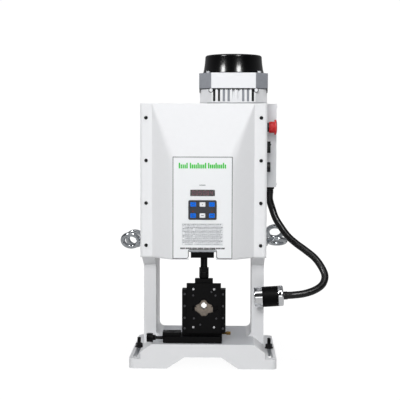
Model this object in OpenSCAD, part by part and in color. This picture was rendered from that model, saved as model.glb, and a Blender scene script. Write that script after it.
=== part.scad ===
// Motor driven terminal crimping press with a hexagon die, a gooseneck lamp and a side control box.
// Millimetres. X to the right, Y to the rear, Z up. The origin is on the floor, midway between the
// two ears of the base in both directions. Everything is drawn at the top of the press stroke.

/* [Base] */
// Width of each ear beside the block
ear_w = 30; // [28:1:36]
// Depth of the base
base_d = 316; // [310:1:340]
// Thickness of the ears
ear_h = 25; // [15:1:35]
// Height of the machined bed above the floor
bed_h = 63; // [55:1:80]
// Width of the chamfer along each side of the bed
chamfer_w = 28.5; // [24:0.5:31]
// Width of the base block below its chamfers
block_w = 316; // [300:1:330]
// Height at which the side chamfers start
chamfer_z = 41.5; // [36:0.5:48]
// Height of the arch under the base
arch_h = 29.5; // [15:0.5:34]
// Width of the arch at its top
arch_top_w = 93; // [60:1:120]
// Width of the arch at the floor
arch_low_w = 182; // [130:1:220]
// Radius of the ear corners
ear_r = 14; // [4:1:16]
// Play of the studs in the hold-down slots
slot_play = 1; // [0.5:0.1:3]
// Length of the hold-down slots
slot_l = 156; // [100:1:200]
// Distance from the front edge of the base to the front end of the slots
slot_front = 24; // [15:1:40]

/* [Frame] */
// Distance of the front of the legs in front of the middle of the press
leg_y = 50; // [46:1:54]
// Depth of the legs
leg_d = 147; // [140:1:155]
// Thickness of the side plates
plate_t = 32; // [26:1:34]
// How far the head overhangs the legs to the front
head_over = 58; // [56:1:62]
// How far the lower front edge of the head lies above the start of the overhang
over_rise = 27; // [20:1:36]
// Height of the lower front edge of the head above the bed
head_up = 216; // [208:1:225]
// Thickness of the top plate
top_t = 15; // [10:1:16]
// Fillet between the legs and the bed
fillet_r = 14; // [6:1:16]
// Width of the wiring window in the side plates
window_w = 132; // [100:1:140]
// Height of the wiring window
window_h = 154; // [140:1:158]

/* [Covers] */
// How far the front cover stands out past the rear cover on each side
cover_lip = 1.5; // [0:0.5:4]
// Thickness of the cover sheets
sheet_t = 2; // [1.5:0.1:2.4]
// Height of the top edge of the covers above the top plate
cover_rise = 9; // [5:0.5:10]
// How far the boss stands out of the front cover
boss_out = 47; // [44:1:52]
// Width of the flange beside the boss
flange_w = 31; // [26:1:36]
// Width of the flat front of the boss
boss_face_w = 154; // [152:1:160]
// Height of the flat front of the boss
boss_face_h = 260; // [258:1:270]
// Sideways offset of the boss, panel and keys from the middle
boss_x = -1; // [-2:0.5:1]
// Width of the notch for the ram
notch_w = 69; // [64:1:74]
// Height of the notch
notch_h = 24.5; // [20:0.5:30]
// Diameter of the cover screw heads
cover_screw_d = 9; // [7:0.5:10]
// Number of cover screws on each side
cover_screw_rows = 4; // [2:1:6]

/* [Control panel] */
// Width of the bare edge on each side of the panel sheet
panel_side = 1.5; // [1:0.5:4]
// Thickness of the panel sheet
panel_t = 1.5; // [1:0.1:2]
// Width of the display window
display_w = 62; // [50:1:70]
// Height of the display window
display_h = 16; // [12:1:20]
// Height of the middle of the display above the lower edge of the head
display_up = 169; // [165:1:175]
// Width of the keypad frame
keypad_w = 71.5; // [68:0.5:80]
// Height of the keypad frame
keypad_h = 49.5; // [46:0.5:54]
// Height of the middle of the keypad above the lower edge of the head
keypad_up = 126; // [118:1:130]
// Width of a key
key_w = 14; // [10:0.5:18]
// Height of a key
key_h = 11; // [8:0.5:16]
// Sideways pitch of the keys
key_pitch_x = 23.5; // [21:0.5:24]
// Upright pitch of the keys
key_pitch_z = 28; // [20:0.5:29]
// Travel of a key
key_travel = 0.5; // [0.2:0.1:0.6]

/* [Control box and switches] */
// Depth of the control box away from the side of the press
box_out = 31; // [28:1:36]
// Length of the control box, front to rear
box_len = 84; // [80:1:90]
// Height of the control box
box_h = 222; // [200:1:230]
// Distance of the front of the box behind the middle of the press
box_y = 8; // [4:1:10]
// Distance of the switches in front of the middle of the press
switch_y = 35; // [30:1:40]
// Distance of the emergency stop below the top of the cover
estop_down = 60; // [50:1:66]
// Diameter of the emergency stop mushroom
estop_d = 40; // [36:1:44]
// Travel of the emergency stop
estop_travel = 5; // [3:0.5:5]
// Distance of the rocker switch below the top of the cover
rocker_down = 112; // [104:1:118]
// Distance of the pedal socket below the top of the cover
socket_down = 164; // [156:1:172]
// Diameter of the pedal socket
socket_d = 26; // [22:1:30]

/* [Lamp] */
// Diameter of the gooseneck
neck_d = 19; // [16:0.5:20]
// Diameter of the lamp head
lamp_d = 53; // [46:1:56]
// Length of the chrome front ring of the lamp
lamp_front_l = 20; // [14:1:24]
// Length of the black lamp body
lamp_body_l = 41; // [30:1:46]
// Length of the chrome rear ring of the lamp
lamp_rear_l = 13.5; // [10:0.5:18]
// Downward tilt of the lamp towards the die
lamp_tilt = 3.8; // [0:0.2:8]

/* [Fasteners] */
// Outer diameter of the lifting eyes
eye_d = 54; // [50:1:56]
// Wire diameter of the lifting eyes
eye_wire = 12; // [10:0.5:13]
// Diameter of the lifting eye threads
eye_thread = 12; // [8:0.5:12]
// Diameter of the hold-down studs
stud_d = 10; // [8:0.5:10]

/* [Motor] */
// Sideways distance of the motor from the ram axis
motor_x = 76; // [75:0.5:77]
// Distance of the motor and gears in front of the middle of the press
motor_y = 5; // [3:0.5:7]
// Width of the square end shield
shield_w = 178; // [172:1:180]
// Corner chamfer of the end shield
shield_chamfer = 32; // [26:1:36]
// Height of the end shield
shield_h = 40; // [36:1:44]
// Width of the finned body
body_w = 174; // [168:1:176]
// Height of the finned body
body_h = 36; // [34:1:40]
// Number of fins on each side
fins = 9; // [5:1:10]
// Depth of the gaps between the fins
fin_deep = 9; // [4:0.5:9.5]
// Diameter of the foot flange of the motor
flange_d = 156; // [150:1:156]
// Outer diameter of the stator
stator_d = 136; // [124:1:136]
// Diameter of the rotor
rotor_d = 84; // [70:1:90]
// Diameter of the motor and worm shafts
motor_shaft_d = 20; // [16:0.5:22]
// Diameter of the fan cap at its rim
cap_d = 161.5; // [156:0.5:164]
// How far the side of the fan cap leans in
cap_lean = 6.25; // [4:0.25:9]
// Height of the side of the fan cap up to its crown
cap_side_h = 48; // [42:1:52]
// Height of the crown of the fan cap
cap_crown_h = 3.5; // [3:0.5:8]

/* [Gearbox and crank] */
// Height of the crankshaft above the lower edge of the head
crank_up = 191; // [185:1:198]
// Height of the top plate above the crankshaft
motor_up = 180; // [175:1:190]
// Pressing stroke of the ram
stroke = 10; // [6:0.5:10]
// Diameter of the crankshaft
crank_d = 40; // [36:1:42]
// Outer diameter of the crank bearings
crank_bearing_d = 80; // [72:1:84]
// Width of the crank bearings
crank_bearing_w = 18; // [14:1:18]
// Diameter of the cam roller
roller_d = 42; // [38:1:44]
// Teeth of the worm wheel
wheel_teeth = 30; // [24:1:36]
// Outer diameter of the worm
worm_d = 34; // [32:0.5:36]
// Threads of the worm
worm_starts = 3; // [2:1:4]
// Width of the worm wheel
wheel_w = 30; // [22:1:34]

/* [Ram and die] */
// Distance between the ram and the bearing plate
ram_off = 8; // [6:0.5:12]
// Width of the ram
ram_w = 80; // [76:1:84]
// Thickness of the ram
ram_t = 24; // [20:1:24]
// Width of the tool holder
holder_w = 59; // [54:1:62]
// Height of the tool holder
holder_h = 14.5; // [12:0.5:18]
// Height of the underside of the tool holder above the lower edge of the head
holder_up = 1; // [0:0.5:4]
// Diameter of the die rod
rod_d = 17.5; // [14:0.5:19]
// Sideways offset of the die
die_x = 2; // [0:0.5:3]
// Width of the die body
die_w = 112; // [108:1:118]
// Depth of the die body with its front plate
die_d = 40; // [38:1:44]
// Height of the die body
die_h = 118; // [112:1:124]
// Width of the die body left bare on each side of its front plate
die_side = 12; // [10:0.5:14]
// Thickness of the die front plate
front_plate_t = 8; // [6:0.5:9]
// How far the front plate stands above the die body
front_plate_up = 17; // [14:1:18]
// Width of the die slide
slide_w = 46; // [42:1:48]
// How far the die slide stands above the front plate at rest
slide_up = 10.5; // [9:0.5:13]
// Height at which the jaws meet above the foot of the die
jaw_up = 71; // [66:1:76]
// Size of the crimp across its flats
crimp_af = 8; // [5:0.5:9]
// Width of the jaw noses
nose_w = 14; // [13:0.5:16]

/* [Clamp] */
// Height of the clamp plate
clamp_h = 17; // [15:1:18]
// Width of the clamp plate
clamp_w = 151; // [145:1:155]
// Depth of the clamp plate
clamp_d = 60; // [56:1:64]
// Diameter of the clamp knob
knob_d = 23; // [20:0.5:23]
// Length of the clamp knob
knob_l = 15.5; // [12:0.5:18]
// Diameter of the clamp screw thread
clamp_thread = 8; // [6:0.5:9]

/* [Hidden] */

// Overrun of every cut, running clearance of shafts, and free gap between moving faces
cut = 1;
run_gap = 0.05;
free_gap = 0.3;

// Colours
white = [0.93, 0.94, 0.95];
grey = [0.76, 0.77, 0.79];
black = [0.07, 0.07, 0.08];
steel = [0.72, 0.73, 0.75];
alloy = [0.66, 0.68, 0.70];
chrome = [0.85, 0.86, 0.88];
brass = [0.72, 0.58, 0.30];
red = [0.85, 0.07, 0.08];
blue = [0.05, 0.45, 0.95];
clear = [0.9, 0.95, 1.0];
smoked = [0.16, 0.10, 0.11];
dark_grey = [0.16, 0.17, 0.19];
bronzed = [0.55, 0.50, 0.45];
bed_grey = [0.80, 0.81, 0.83];

// Places that follow from the sizes above
base_w = block_w + 2 * ear_w;
bed_w = block_w - 2 * chamfer_w;
base_front = -base_d / 2;
leg_front = -leg_y;
leg_rear = leg_front + leg_d;
head_front = leg_front - head_over;
plate_out = block_w / 2;
plate_in = plate_out - plate_t;
head_z = bed_h + head_up;
over_z = head_z - over_rise;
crank_z = head_z + crank_up;
plate_top_z = crank_z + motor_up;
top_z = plate_top_z + top_t;
cover_top_z = top_z + cover_rise;
flange_t = 12;
body_z = top_z + flange_t;
holder_z = head_z + holder_up;
slot_w = stud_d + slot_play;
slot_out = 1;
slot_mid_x = (base_w + block_w) / 4 + slot_out;
slot_y0 = base_front + slot_front;
stud_back = 35;
stud_y = leg_front + stud_back;
window_set = 46;
window_down = 18;
window_y0 = head_front + window_set;
window_z0 = plate_top_z - window_down - window_h;
window_r = 12;
side_seam = 0.5;
side_sheet = sheet_t + side_seam;
side_out = plate_out + side_sheet;
bearing_shoulder = 1;
bearing_plate_set = 16;
bearing_plate_t = crank_bearing_w + 2 * bearing_shoulder;
bearing_plate_y = head_front + bearing_plate_set;
ram_y = ram_off + ram_t / 2 - bearing_plate_y;

// Round parts use this many facets, so that they come out truly round
$fn = 64;

module block(low, high) {
    translate(low) cube(high - low);
}
module rod_x(d, x0, x1, y, z) {
    translate([x0, y, z]) rotate([0, 90, 0]) cylinder(d = d, h = x1 - x0);
}
module rod_y(d, y0, y1, x, z) {
    translate([x, y0, z]) rotate([-90, 0, 0]) cylinder(d = d, h = y1 - y0);
}
module rod_z(d, z0, z1, x, y) {
    translate([x, y, z0]) cylinder(d = d, h = z1 - z0);
}
// Turns a drawing of Y and Z into a solid that runs along X
module along_x(x0, x1) {
    translate([x0, 0, 0]) rotate([90, 0, 90]) linear_extrude(height = x1 - x0) children();
}
// Turns a drawing of X and Z into a solid that runs along Y
module along_y(y0, y1) {
    translate([0, y1, 0]) rotate([90, 0, 0]) linear_extrude(height = y1 - y0) children();
}
// Flat rectangle with round corners, drawn about its middle
module round_rect(w, h, r) {
    square([w - 2 * r, h], center = true);
    square([w, h - 2 * r], center = true);
    for (sx = [-1, 1], sy = [-1, 1])
        translate([sx * (w / 2 - r), sy * (h / 2 - r)]) circle(r = r);
}

// Base casting: two slotted ears, an arched block and a machined bed
module block_outline() {
    polygon([
        [-block_w / 2, 0], [-block_w / 2, chamfer_z], [-bed_w / 2, bed_h],
        [bed_w / 2, bed_h], [block_w / 2, chamfer_z], [block_w / 2, 0]
    ]);
}
module base() {
    color(white) difference() {
        union() {
            linear_extrude(height = ear_h) round_rect(base_w, base_d, ear_r);
            along_y(base_front, leg_rear) block_outline();
        }
        along_y(base_front - cut, base_d / 2 + cut) polygon([
            [-arch_low_w / 2, -cut], [-arch_low_w / 2, 0], [-arch_top_w / 2, arch_h],
            [arch_top_w / 2, arch_h], [arch_low_w / 2, 0], [arch_low_w / 2, -cut]
        ]);
        for (s = [-1, 1])
            translate([s * slot_mid_x, slot_y0 + slot_l / 2, -cut])
                linear_extrude(height = ear_h + 2 * cut) round_rect(slot_w, slot_l, slot_w / 2 - run_gap);
        for (p = clamp_bolt_places)
            rod_z(clamp_bolt_d, bed_h - clamp_bolt_deep, bed_h + cut, p[0], p[1]);
    }
}

// Side plates: each leg widens into the head, and its foot follows the chamfer of the base block
module side_plate(s) {
    x0 = s > 0 ? plate_in : -plate_out;
    color(white) difference() {
        union() {
            along_x(x0, x0 + plate_t) polygon([
                [leg_front, chamfer_z], [leg_front, over_z], [head_front, head_z],
                [head_front, plate_top_z], [leg_rear, plate_top_z], [leg_rear, chamfer_z]
            ]);
            difference() {
                block([s > 0 ? plate_in - fillet_r : -plate_in, leg_front, bed_h],
                      [s > 0 ? plate_in : -plate_in + fillet_r, leg_rear, bed_h + fillet_r]);
                rod_y(2 * fillet_r, leg_front - cut, leg_rear + cut,
                      s * (plate_in - fillet_r), bed_h + fillet_r);
            }
        }
        along_y(leg_front - cut, leg_rear + cut) block_outline();
        along_x(x0 - cut, x0 + plate_t + cut)
            translate([window_y0 + window_w / 2, window_z0 + window_h / 2])
                round_rect(window_w, window_h, window_r);
        for (e = eye_places)
            if (e[0] * s > 0)
                rod_x(eye_thread + 2 * run_gap, min(s * eye_hole_end, s * (plate_out + cut)),
                      max(s * eye_hole_end, s * (plate_out + cut)), e[1], e[2]);
        for (z = cover_screw_z)
            rod_y(cover_thread + 2 * run_gap, head_front - cut, head_front + cover_thread_l,
                  s * cover_screw_x, z);
    }
}

// Top plate: carries the motor on the two side plates
module top_plate() {
    color(white) difference() {
        block([-plate_out, head_front, plate_top_z], [plate_out, leg_rear, top_z]);
        rod_z(spigot_d + 2 * free_gap, plate_top_z - cut, top_z + cut, motor_x, -motor_y);
    }
}

// Bearing plate: stands between the side plates, holds the front crank bearing and the ram guides
bearing_plate_up = 19;
bearing_plate_down = 52;
bearing_plate_z0 = head_z + bearing_plate_up;
bearing_plate_z1 = plate_top_z - bearing_plate_down;
module bearing_plate() {
    color(steel) difference() {
        block([-plate_in, bearing_plate_y, bearing_plate_z0],
              [plate_in, bearing_plate_y + bearing_plate_t, bearing_plate_z1]);
        rod_y(crank_bearing_d + 2 * run_gap, bearing_plate_y - cut,
              bearing_plate_y + bearing_plate_t + cut, 0, crank_z);
    }
}

// Front cover: one sheet with a flange, a tapered boss open to the rear and below, and the ram notch
flange_y = head_front - sheet_t;
boss_face_y = flange_y - boss_out;
boss_face_top = head_z + boss_face_h;
cover_w = 2 * (side_out + cover_lip);
boss_root_w = cover_w - 2 * flange_w;
cover_screw_up = 31;
cover_screw_down = 37;
cover_screw_set = 15;
cover_screw_x = cover_w / 2 - cover_screw_set;
cover_thread = 5;
cover_thread_l = 12;
cover_screw_head = 3.5;
cover_screw_span = cover_top_z - cover_screw_down - head_z - cover_screw_up;
cover_screw_step = cover_screw_span / (cover_screw_rows - 1);
cover_screw_z = [for (i = [0:cover_screw_rows - 1]) head_z + cover_screw_up + i * cover_screw_step];
cover_head_share = 0.4;
cover_crown_share = 0.72;
cover_hex_share = 0.4;
cover_hex_deep_share = 0.6;
module boss_solid(grow, back) {
    intersection() {
        translate([boss_x, 0, head_z - cut - back])
            linear_extrude(height = cover_top_z - head_z + 2 * cut + 2 * back) polygon([
                [-boss_root_w / 2 + grow, flange_y + back], [-boss_face_w / 2 + grow, boss_face_y + grow],
                [boss_face_w / 2 - grow, boss_face_y + grow], [boss_root_w / 2 - grow, flange_y + back]
            ]);
        along_x(boss_x - boss_root_w, boss_x + boss_root_w) polygon([
            [flange_y + back, head_z - back], [boss_face_y + grow, head_z - back],
            [boss_face_y + grow, boss_face_top - grow], [flange_y + back, cover_top_z - grow - sheet_t / 2]
        ]);
    }
}
module notch_cut(y0, y1, w, h) {
    block([boss_x - w / 2, y0, head_z - cut], [boss_x + w / 2, y1, head_z + h / 2]);
    along_y(y0, y1) translate([boss_x, head_z + h / 2]) round_rect(w, h, notch_r);
}
notch_r = 5;
module front_cover() {
    color(white) difference() {
        union() {
            block([-cover_w / 2, flange_y, head_z], [cover_w / 2, head_front, cover_top_z]);
            boss_solid(0, 0);
        }
        boss_solid(sheet_t, sheet_t + cut);
        notch_cut(boss_face_y - cut, boss_face_y + sheet_t + cut, notch_w, notch_h);
        for (s = [-1, 1], z = cover_screw_z)
            rod_y(cover_thread + 2 * free_gap, flange_y - cut, head_front + cut, s * cover_screw_x, z);
    }
}

// Rear cover: sheet bent round both sides and the back of the head
rear_gap = 11;
module rear_cover() {
    color(white) difference() {
        block([-side_out, head_front, head_z], [side_out, leg_rear + rear_gap + side_sheet, cover_top_z]);
        difference() {
            block([-plate_out, head_front - cut, head_z - cut],
                  [plate_out, leg_rear + rear_gap, cover_top_z + cut]);
            block([-plate_out, leg_rear, top_z - sheet_t], [plate_out, leg_rear + rear_gap, top_z]);
        }
        for (e = eye_places)
            rod_x(eye_thread + 2 * free_gap, e[0] > 0 ? plate_out - cut : -side_out - cut,
                  e[0] > 0 ? side_out + cut : -plate_out + cut, e[1], e[2]);
        rod_x(estop_barrel_d + 2 * free_gap, plate_out - cut, side_out + cut, -switch_y, estop_z);
        rod_x(socket_barrel_d + 2 * free_gap, plate_out - cut, side_out + cut, -switch_y, socket_z);
        along_x(plate_out - cut, side_out + cut) translate([-switch_y, rocker_z])
            square([rocker_hole_w + 2 * free_gap, rocker_hole_h + 2 * free_gap], center = true);
        for (i = [0:rear_vents - 1])
            along_y(leg_rear, leg_rear + rear_gap + side_sheet + cut)
                translate([0, cover_top_z - rear_vent_top - i * rear_vent_pitch])
                    round_rect(rear_vent_w, rear_vent_h, rear_vent_h / 2 - run_gap);
    }
}
rear_vents = 6;
rear_vent_w = 90;
rear_vent_h = 5;
rear_vent_pitch = 13;
rear_vent_top = 60;

// Screws of the front cover: domed heads on plain shanks
module cover_screws() {
    color(black) for (s = [-1, 1], z = cover_screw_z) {
        rod_y(cover_thread, flange_y - run_gap, head_front + cover_thread_l - cut, s * cover_screw_x, z);
        difference() {
            translate([s * cover_screw_x, flange_y, z]) rotate([90, 0, 0])
                rotate_extrude() polygon([
                    [0, 0], [cover_screw_d / 2, 0], [cover_screw_d / 2, cover_screw_head * cover_head_share],
                    [cover_screw_d / 2 * cover_crown_share, cover_screw_head], [0, cover_screw_head]
                ]);
            translate([s * cover_screw_x, flange_y - cover_screw_head - cut, z]) rotate([-90, 0, 0])
                cylinder(d = cover_screw_d * cover_hex_share,
                         h = cover_screw_head * cover_hex_deep_share + cut, $fn = 6);
        }
    }
}

// Control panel: printed sheet on the flat front of the boss
panel_y = boss_face_y - panel_t;
panel_w = boss_face_w - 2 * panel_side;
panel_edge = 2;
panel_r = 2;
panel_gap = 0.5;
panel_h = boss_face_h - panel_edge;
module control_panel() {
    color(white) difference() {
        along_y(panel_y, boss_face_y) translate([boss_x, head_z + panel_edge + panel_h / 2])
            round_rect(panel_w, panel_h, panel_r);
        notch_cut(panel_y - cut, boss_face_y + cut, notch_w - panel_gap, notch_h - panel_gap / 2);
    }
}
display_t = 1;
display_r = 1.5;
module display_window() {
    color(smoked) along_y(panel_y - display_t, panel_y) translate([boss_x, head_z + display_up])
        round_rect(display_w, display_h, display_r);
}
keypad_z = head_z + keypad_up;
keypad_t = 2;
keypad_r = 4;
key_r = 1;
key_gap = 0.3;
module keypad_frame() {
    color(dark_grey) difference() {
        along_y(panel_y - keypad_t, panel_y) translate([boss_x, keypad_z])
            round_rect(keypad_w, keypad_h, keypad_r);
        for (c = [-1:1], r = [-1, 1])
            along_y(panel_y - keypad_t - cut, panel_y + cut)
                translate([boss_x + c * key_pitch_x, keypad_z + r * key_pitch_z / 2])
                    round_rect(key_w + 2 * key_gap, key_h + 2 * key_gap, key_r + key_gap);
    }
}
key_proud = 1;
module key(c, r, tint) {
    color(tint) along_y(panel_y - keypad_t - key_proud, panel_y - key_travel - key_gap)
        translate([boss_x + c * key_pitch_x, keypad_z + r * key_pitch_z / 2])
            round_rect(key_w, key_h, key_r);
}
module key_1() { key(-1, 1, blue); }
module key_2() { key(0, 1, white); }
module key_3() { key(1, 1, blue); }
module key_4() { key(-1, -1, blue); }
module key_5() { key(0, -1, white); }
module key_6() { key(1, -1, blue); }

// Control box: grey sheet box on the right side of the press, with a screwed lid
box_wall = 1.5;
box_x1 = side_out + box_out;
box_z1 = body_z - free_gap;
box_z0 = box_z1 - box_h;
box_lid_screw = 6;
box_lid_inset = 8;
module control_box() {
    color(grey) difference() {
        block([side_out, box_y, box_z0], [box_x1 - box_wall, box_y + box_len, box_z1]);
        block([side_out + box_wall, box_y + box_wall, box_z0 + box_wall],
              [box_x1 + cut, box_y + box_len - box_wall, box_z1 - box_wall]);
        rod_z(gland_tube_d + 2 * free_gap, box_z0 - cut, box_z0 + box_wall + cut, neck_x, neck_y);
    }
}
module box_lid() {
    color(grey) {
        block([box_x1 - box_wall, box_y, box_z0], [box_x1, box_y + box_len, box_z1]);
        for (y = [box_y + box_lid_inset, box_y + box_len - box_lid_inset])
            for (z = [box_z0 + box_lid_inset, box_z1 - box_lid_inset])
                rod_x(box_lid_screw, box_x1, box_x1 + box_wall, y, z);
    }
}

// Emergency stop: black collar on the side of the cover, red mushroom on a stem
estop_barrel_d = 22;
estop_collar_d = 24;
estop_collar_l = 9.5;
estop_barrel_l = 26;
estop_neck_d = 28.4;
estop_neck_l = 14;
estop_head_l = 6;
estop_stem_d = 10;
estop_wall = 1.6;
estop_x0 = side_out + estop_collar_l;
estop_z = cover_top_z - estop_down;
module estop_base() {
    color(black) difference() {
        union() {
            rod_x(estop_collar_d, side_out, estop_x0, -switch_y, estop_z);
            rod_x(estop_barrel_d, side_out - estop_barrel_l, side_out, -switch_y, estop_z);
        }
        rod_x(estop_stem_d + 2 * run_gap, side_out - estop_barrel_l / 2, estop_x0 + cut, -switch_y, estop_z);
    }
}
module estop_button() {
    x1 = estop_x0 + free_gap + estop_neck_l;
    color(red) translate([0, -switch_y, estop_z]) rotate([0, 90, 0]) rotate_extrude() polygon([
        [0, estop_x0 - estop_stem_l], [estop_stem_d / 2, estop_x0 - estop_stem_l],
        [estop_stem_d / 2, estop_x0 + estop_roof], [estop_neck_d / 2 - estop_wall, estop_x0 + estop_roof],
        [estop_neck_d / 2 - estop_wall, estop_x0 - estop_lip], [estop_neck_d / 2, estop_x0 - estop_lip],
        [estop_neck_d / 2, x1 - estop_edge], [estop_d / 2 - estop_edge, x1 - estop_edge], [estop_d / 2, x1],
        for (q = estop_crown_shares) [estop_d / 2 * q[0], x1 + estop_head_l * q[1]]
    ]);
}
estop_lip = 0.5;
estop_edge = 1;
estop_roof = estop_travel + free_gap;
estop_stem_l = 6;
estop_crown_shares = [[1, 0.5], [0.88, 0.8], [0.6, 1], [0, 1]];

// Rocker switch: black rocker in a raised bezel
rocker_hole_w = 16;
rocker_hole_h = 25;
rocker_bezel_w = 22;
rocker_bezel_h = 30;
rocker_bezel_t = 13;
rocker_bezel_r = 2;
rocker_wall = 1.5;
rocker_back = 15;
rocker_horn = 7.6;
rocker_dish = 2;
rocker_root = 2;
rocker_root_share = 0.6;
rocker_angle = 7;
rocker_pivot_x = side_out + rocker_bezel_t / 2;
rocker_z = cover_top_z - rocker_down;
rocker_gap = 0.6;
rocker_inner_w = rocker_hole_w - 2 * rocker_wall;
rocker_inner_h = rocker_hole_h - 2 * rocker_wall;
module rocker_bezel() {
    color(black) difference() {
        union() {
            along_x(side_out, side_out + rocker_bezel_t) translate([-switch_y, rocker_z])
                round_rect(rocker_bezel_w, rocker_bezel_h, rocker_bezel_r);
            along_x(side_out - rocker_back, side_out) translate([-switch_y, rocker_z])
                square([rocker_hole_w, rocker_hole_h], center = true);
        }
        along_x(side_out - rocker_back + rocker_wall, side_out + rocker_bezel_t + cut)
            translate([-switch_y, rocker_z]) square([rocker_inner_w, rocker_inner_h], center = true);
        rod_y(rocker_pin_d + 2 * run_gap, -switch_y - rocker_pin_l / 2 - run_gap,
              -switch_y + rocker_pin_l / 2 + run_gap, rocker_pivot_x, rocker_z);
    }
}
rocker_pin_d = 3;
rocker_pin_l = rocker_inner_w + 2 * rocker_wall;
module rocker_switch() {
    half = rocker_inner_h / 2 - 2 * rocker_gap;
    color(black) translate([rocker_pivot_x, 0, rocker_z]) rotate([0, rocker_angle, 0]) {
        translate([0, -switch_y, 0])
            along_y((rocker_gap - rocker_inner_w) / 2, (rocker_inner_w - rocker_gap) / 2)
            polygon([
                [-rocker_root, -half * rocker_root_share], [rocker_horn, -half],
                [rocker_horn - rocker_dish, 0], [rocker_horn, half], [-rocker_root, half * rocker_root_share]
            ]);
        rod_y(rocker_pin_d, -switch_y - rocker_pin_l / 2, -switch_y + rocker_pin_l / 2, 0, 0);
    }
}

// Pedal socket: round connector with four pins
socket_barrel_d = 20;
socket_out = 13;
socket_back = 16;
socket_bore_d = 15;
socket_pin_d = 2;
socket_pin_set = 3;
socket_z = cover_top_z - socket_down;
module pedal_socket() {
    color(black) translate([0, -switch_y, socket_z]) {
        difference() {
            union() {
                rod_x(socket_d, side_out, side_out + socket_out, 0, 0);
                rod_x(socket_barrel_d, side_out - socket_back, side_out, 0, 0);
            }
            rod_x(socket_bore_d, side_out + cut, side_out + socket_out + cut, 0, 0);
        }
        for (i = [0:3])
            rotate([45 + 90 * i, 0, 0])
                rod_x(socket_pin_d, side_out, side_out + socket_out - socket_pin_set, socket_bore_d / 4, 0);
    }
}

// Gooseneck lamp. The route is measured from its exit under the control box, and every point is a round
// number chosen by hand; the arm holds its own shape and ends square in the lamp head.
neck_out = 14.5;
neck_x = side_out + neck_out;
neck_back = 22;
neck_y = box_y + neck_back;
gland_d = 24;
gland_l = 6;
gland_tube_d = 14;
gland_nut_d = 20;
gland_nut_l = 5;
gland_tube_out = 1;
spigot_neck_d = 8;
ferrule_l = 10;
ferrule_more = 1;
neck_exit = [neck_x, neck_y, box_z0 - gland_l - free_gap];
neck_bends = [
    [0, 0, -10], [0, 0, -28], [7, -2, -52], [16, -8, -77], [30, -15, -100],
    [48, -25, -124], [70, -35, -143], [94, -45, -160], [118, -56, -179], [135, -68, -202],
    [143, -82, -224], [135, -96, -244], [114, -108, -257], [86, -117, -265], [58, -122, -268]
];
// The last stretch of the arm runs straight along the axis of the lamp
neck_straight = 26;
lamp_way = [-cos(lamp_tilt), 0, -sin(lamp_tilt)];
neck_turn = neck_bends[len(neck_bends) - 1];
neck_route = concat(neck_bends, [for (k = [1, 2]) neck_turn + k * neck_straight / 2 * lamp_way]);
neck_sides = 12;
neck_steps = 2;
function spline(a, b, c, d, t) =
    (2 * b + (c - a) * t + (2 * a - 5 * b + 4 * c - d) * t * t + (3 * b - a - 3 * c + d) * t * t * t) / 2;
function route_at(r, i) =
    i < 0 ? 2 * r[0] - r[1] : i >= len(r) ? 2 * r[len(r) - 1] - r[len(r) - 2] : r[i];
function smooth(r, steps) = concat(
    [for (i = [0:len(r) - 2], k = [0:steps - 1])
        spline(route_at(r, i - 1), r[i], r[i + 1], route_at(r, i + 2), k / steps)],
    [r[len(r) - 1]]);
function unit(v) = v / norm(v);
function heading(p, i) = unit(p[min(i + 1, len(p) - 1)] - p[max(i - 1, 0)]);
function carried(p, i, v) = let (h = heading(p, i), w = v - (v * h) * h) unit(w);
function frames(p, i, v) = i >= len(p) ? [] : let (u = carried(p, i, v)) concat([u], frames(p, i + 1, u));
module tube(points, d, sides) {
    us = frames(points, 0, [1, 0.2, 0]);
    n = len(points);
    rings = [for (i = [0:n - 1], k = [0:sides - 1])
        let (h = heading(points, i), u = us[i], w = cross(h, u), a = 360 * k / sides)
        points[i] + d / 2 * (cos(a) * u + sin(a) * w)];
    end = (n - 1) * sides;
    sides_of = [for (i = [0:n - 2], k = [0:sides - 1])
        let (a = i * sides + k, b = i * sides + (k + 1) % sides)
            each [[a, b + sides, b], [a, a + sides, b + sides]]];
    first = [for (k = [1:sides - 2]) [0, k, k + 1]];
    last = [for (k = [1:sides - 2]) [end, end + k + 1, end + k]];
    polyhedron(points = rings, faces = concat(sides_of, first, last), convexity = 6);
}
module lamp_gland() {
    color(black) difference() {
        union() {
            rod_z(gland_d, box_z0 - gland_l, box_z0, neck_x, neck_y);
            rod_z(gland_tube_d, box_z0, box_z0 + box_wall + gland_nut_l + gland_tube_out, neck_x, neck_y);
            translate([neck_x, neck_y, box_z0 + box_wall])
                cylinder(d = gland_nut_d, h = gland_nut_l, $fn = 6);
        }
        rod_z(spigot_neck_d + 2 * run_gap, box_z0 - gland_l - cut,
              box_z0 + box_wall + gland_nut_l + gland_tube_out + cut, neck_x, neck_y);
    }
}
module lamp_arm() {
    color(black) {
        tube([for (p = smooth(neck_route, neck_steps)) neck_exit + p], neck_d, neck_sides);
        rod_z(neck_d + ferrule_more, neck_exit[2] - ferrule_l - cut, neck_exit[2], neck_x, neck_y);
        rod_z(spigot_neck_d, neck_exit[2], box_z0 + box_wall, neck_x, neck_y);
    }
}
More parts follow.
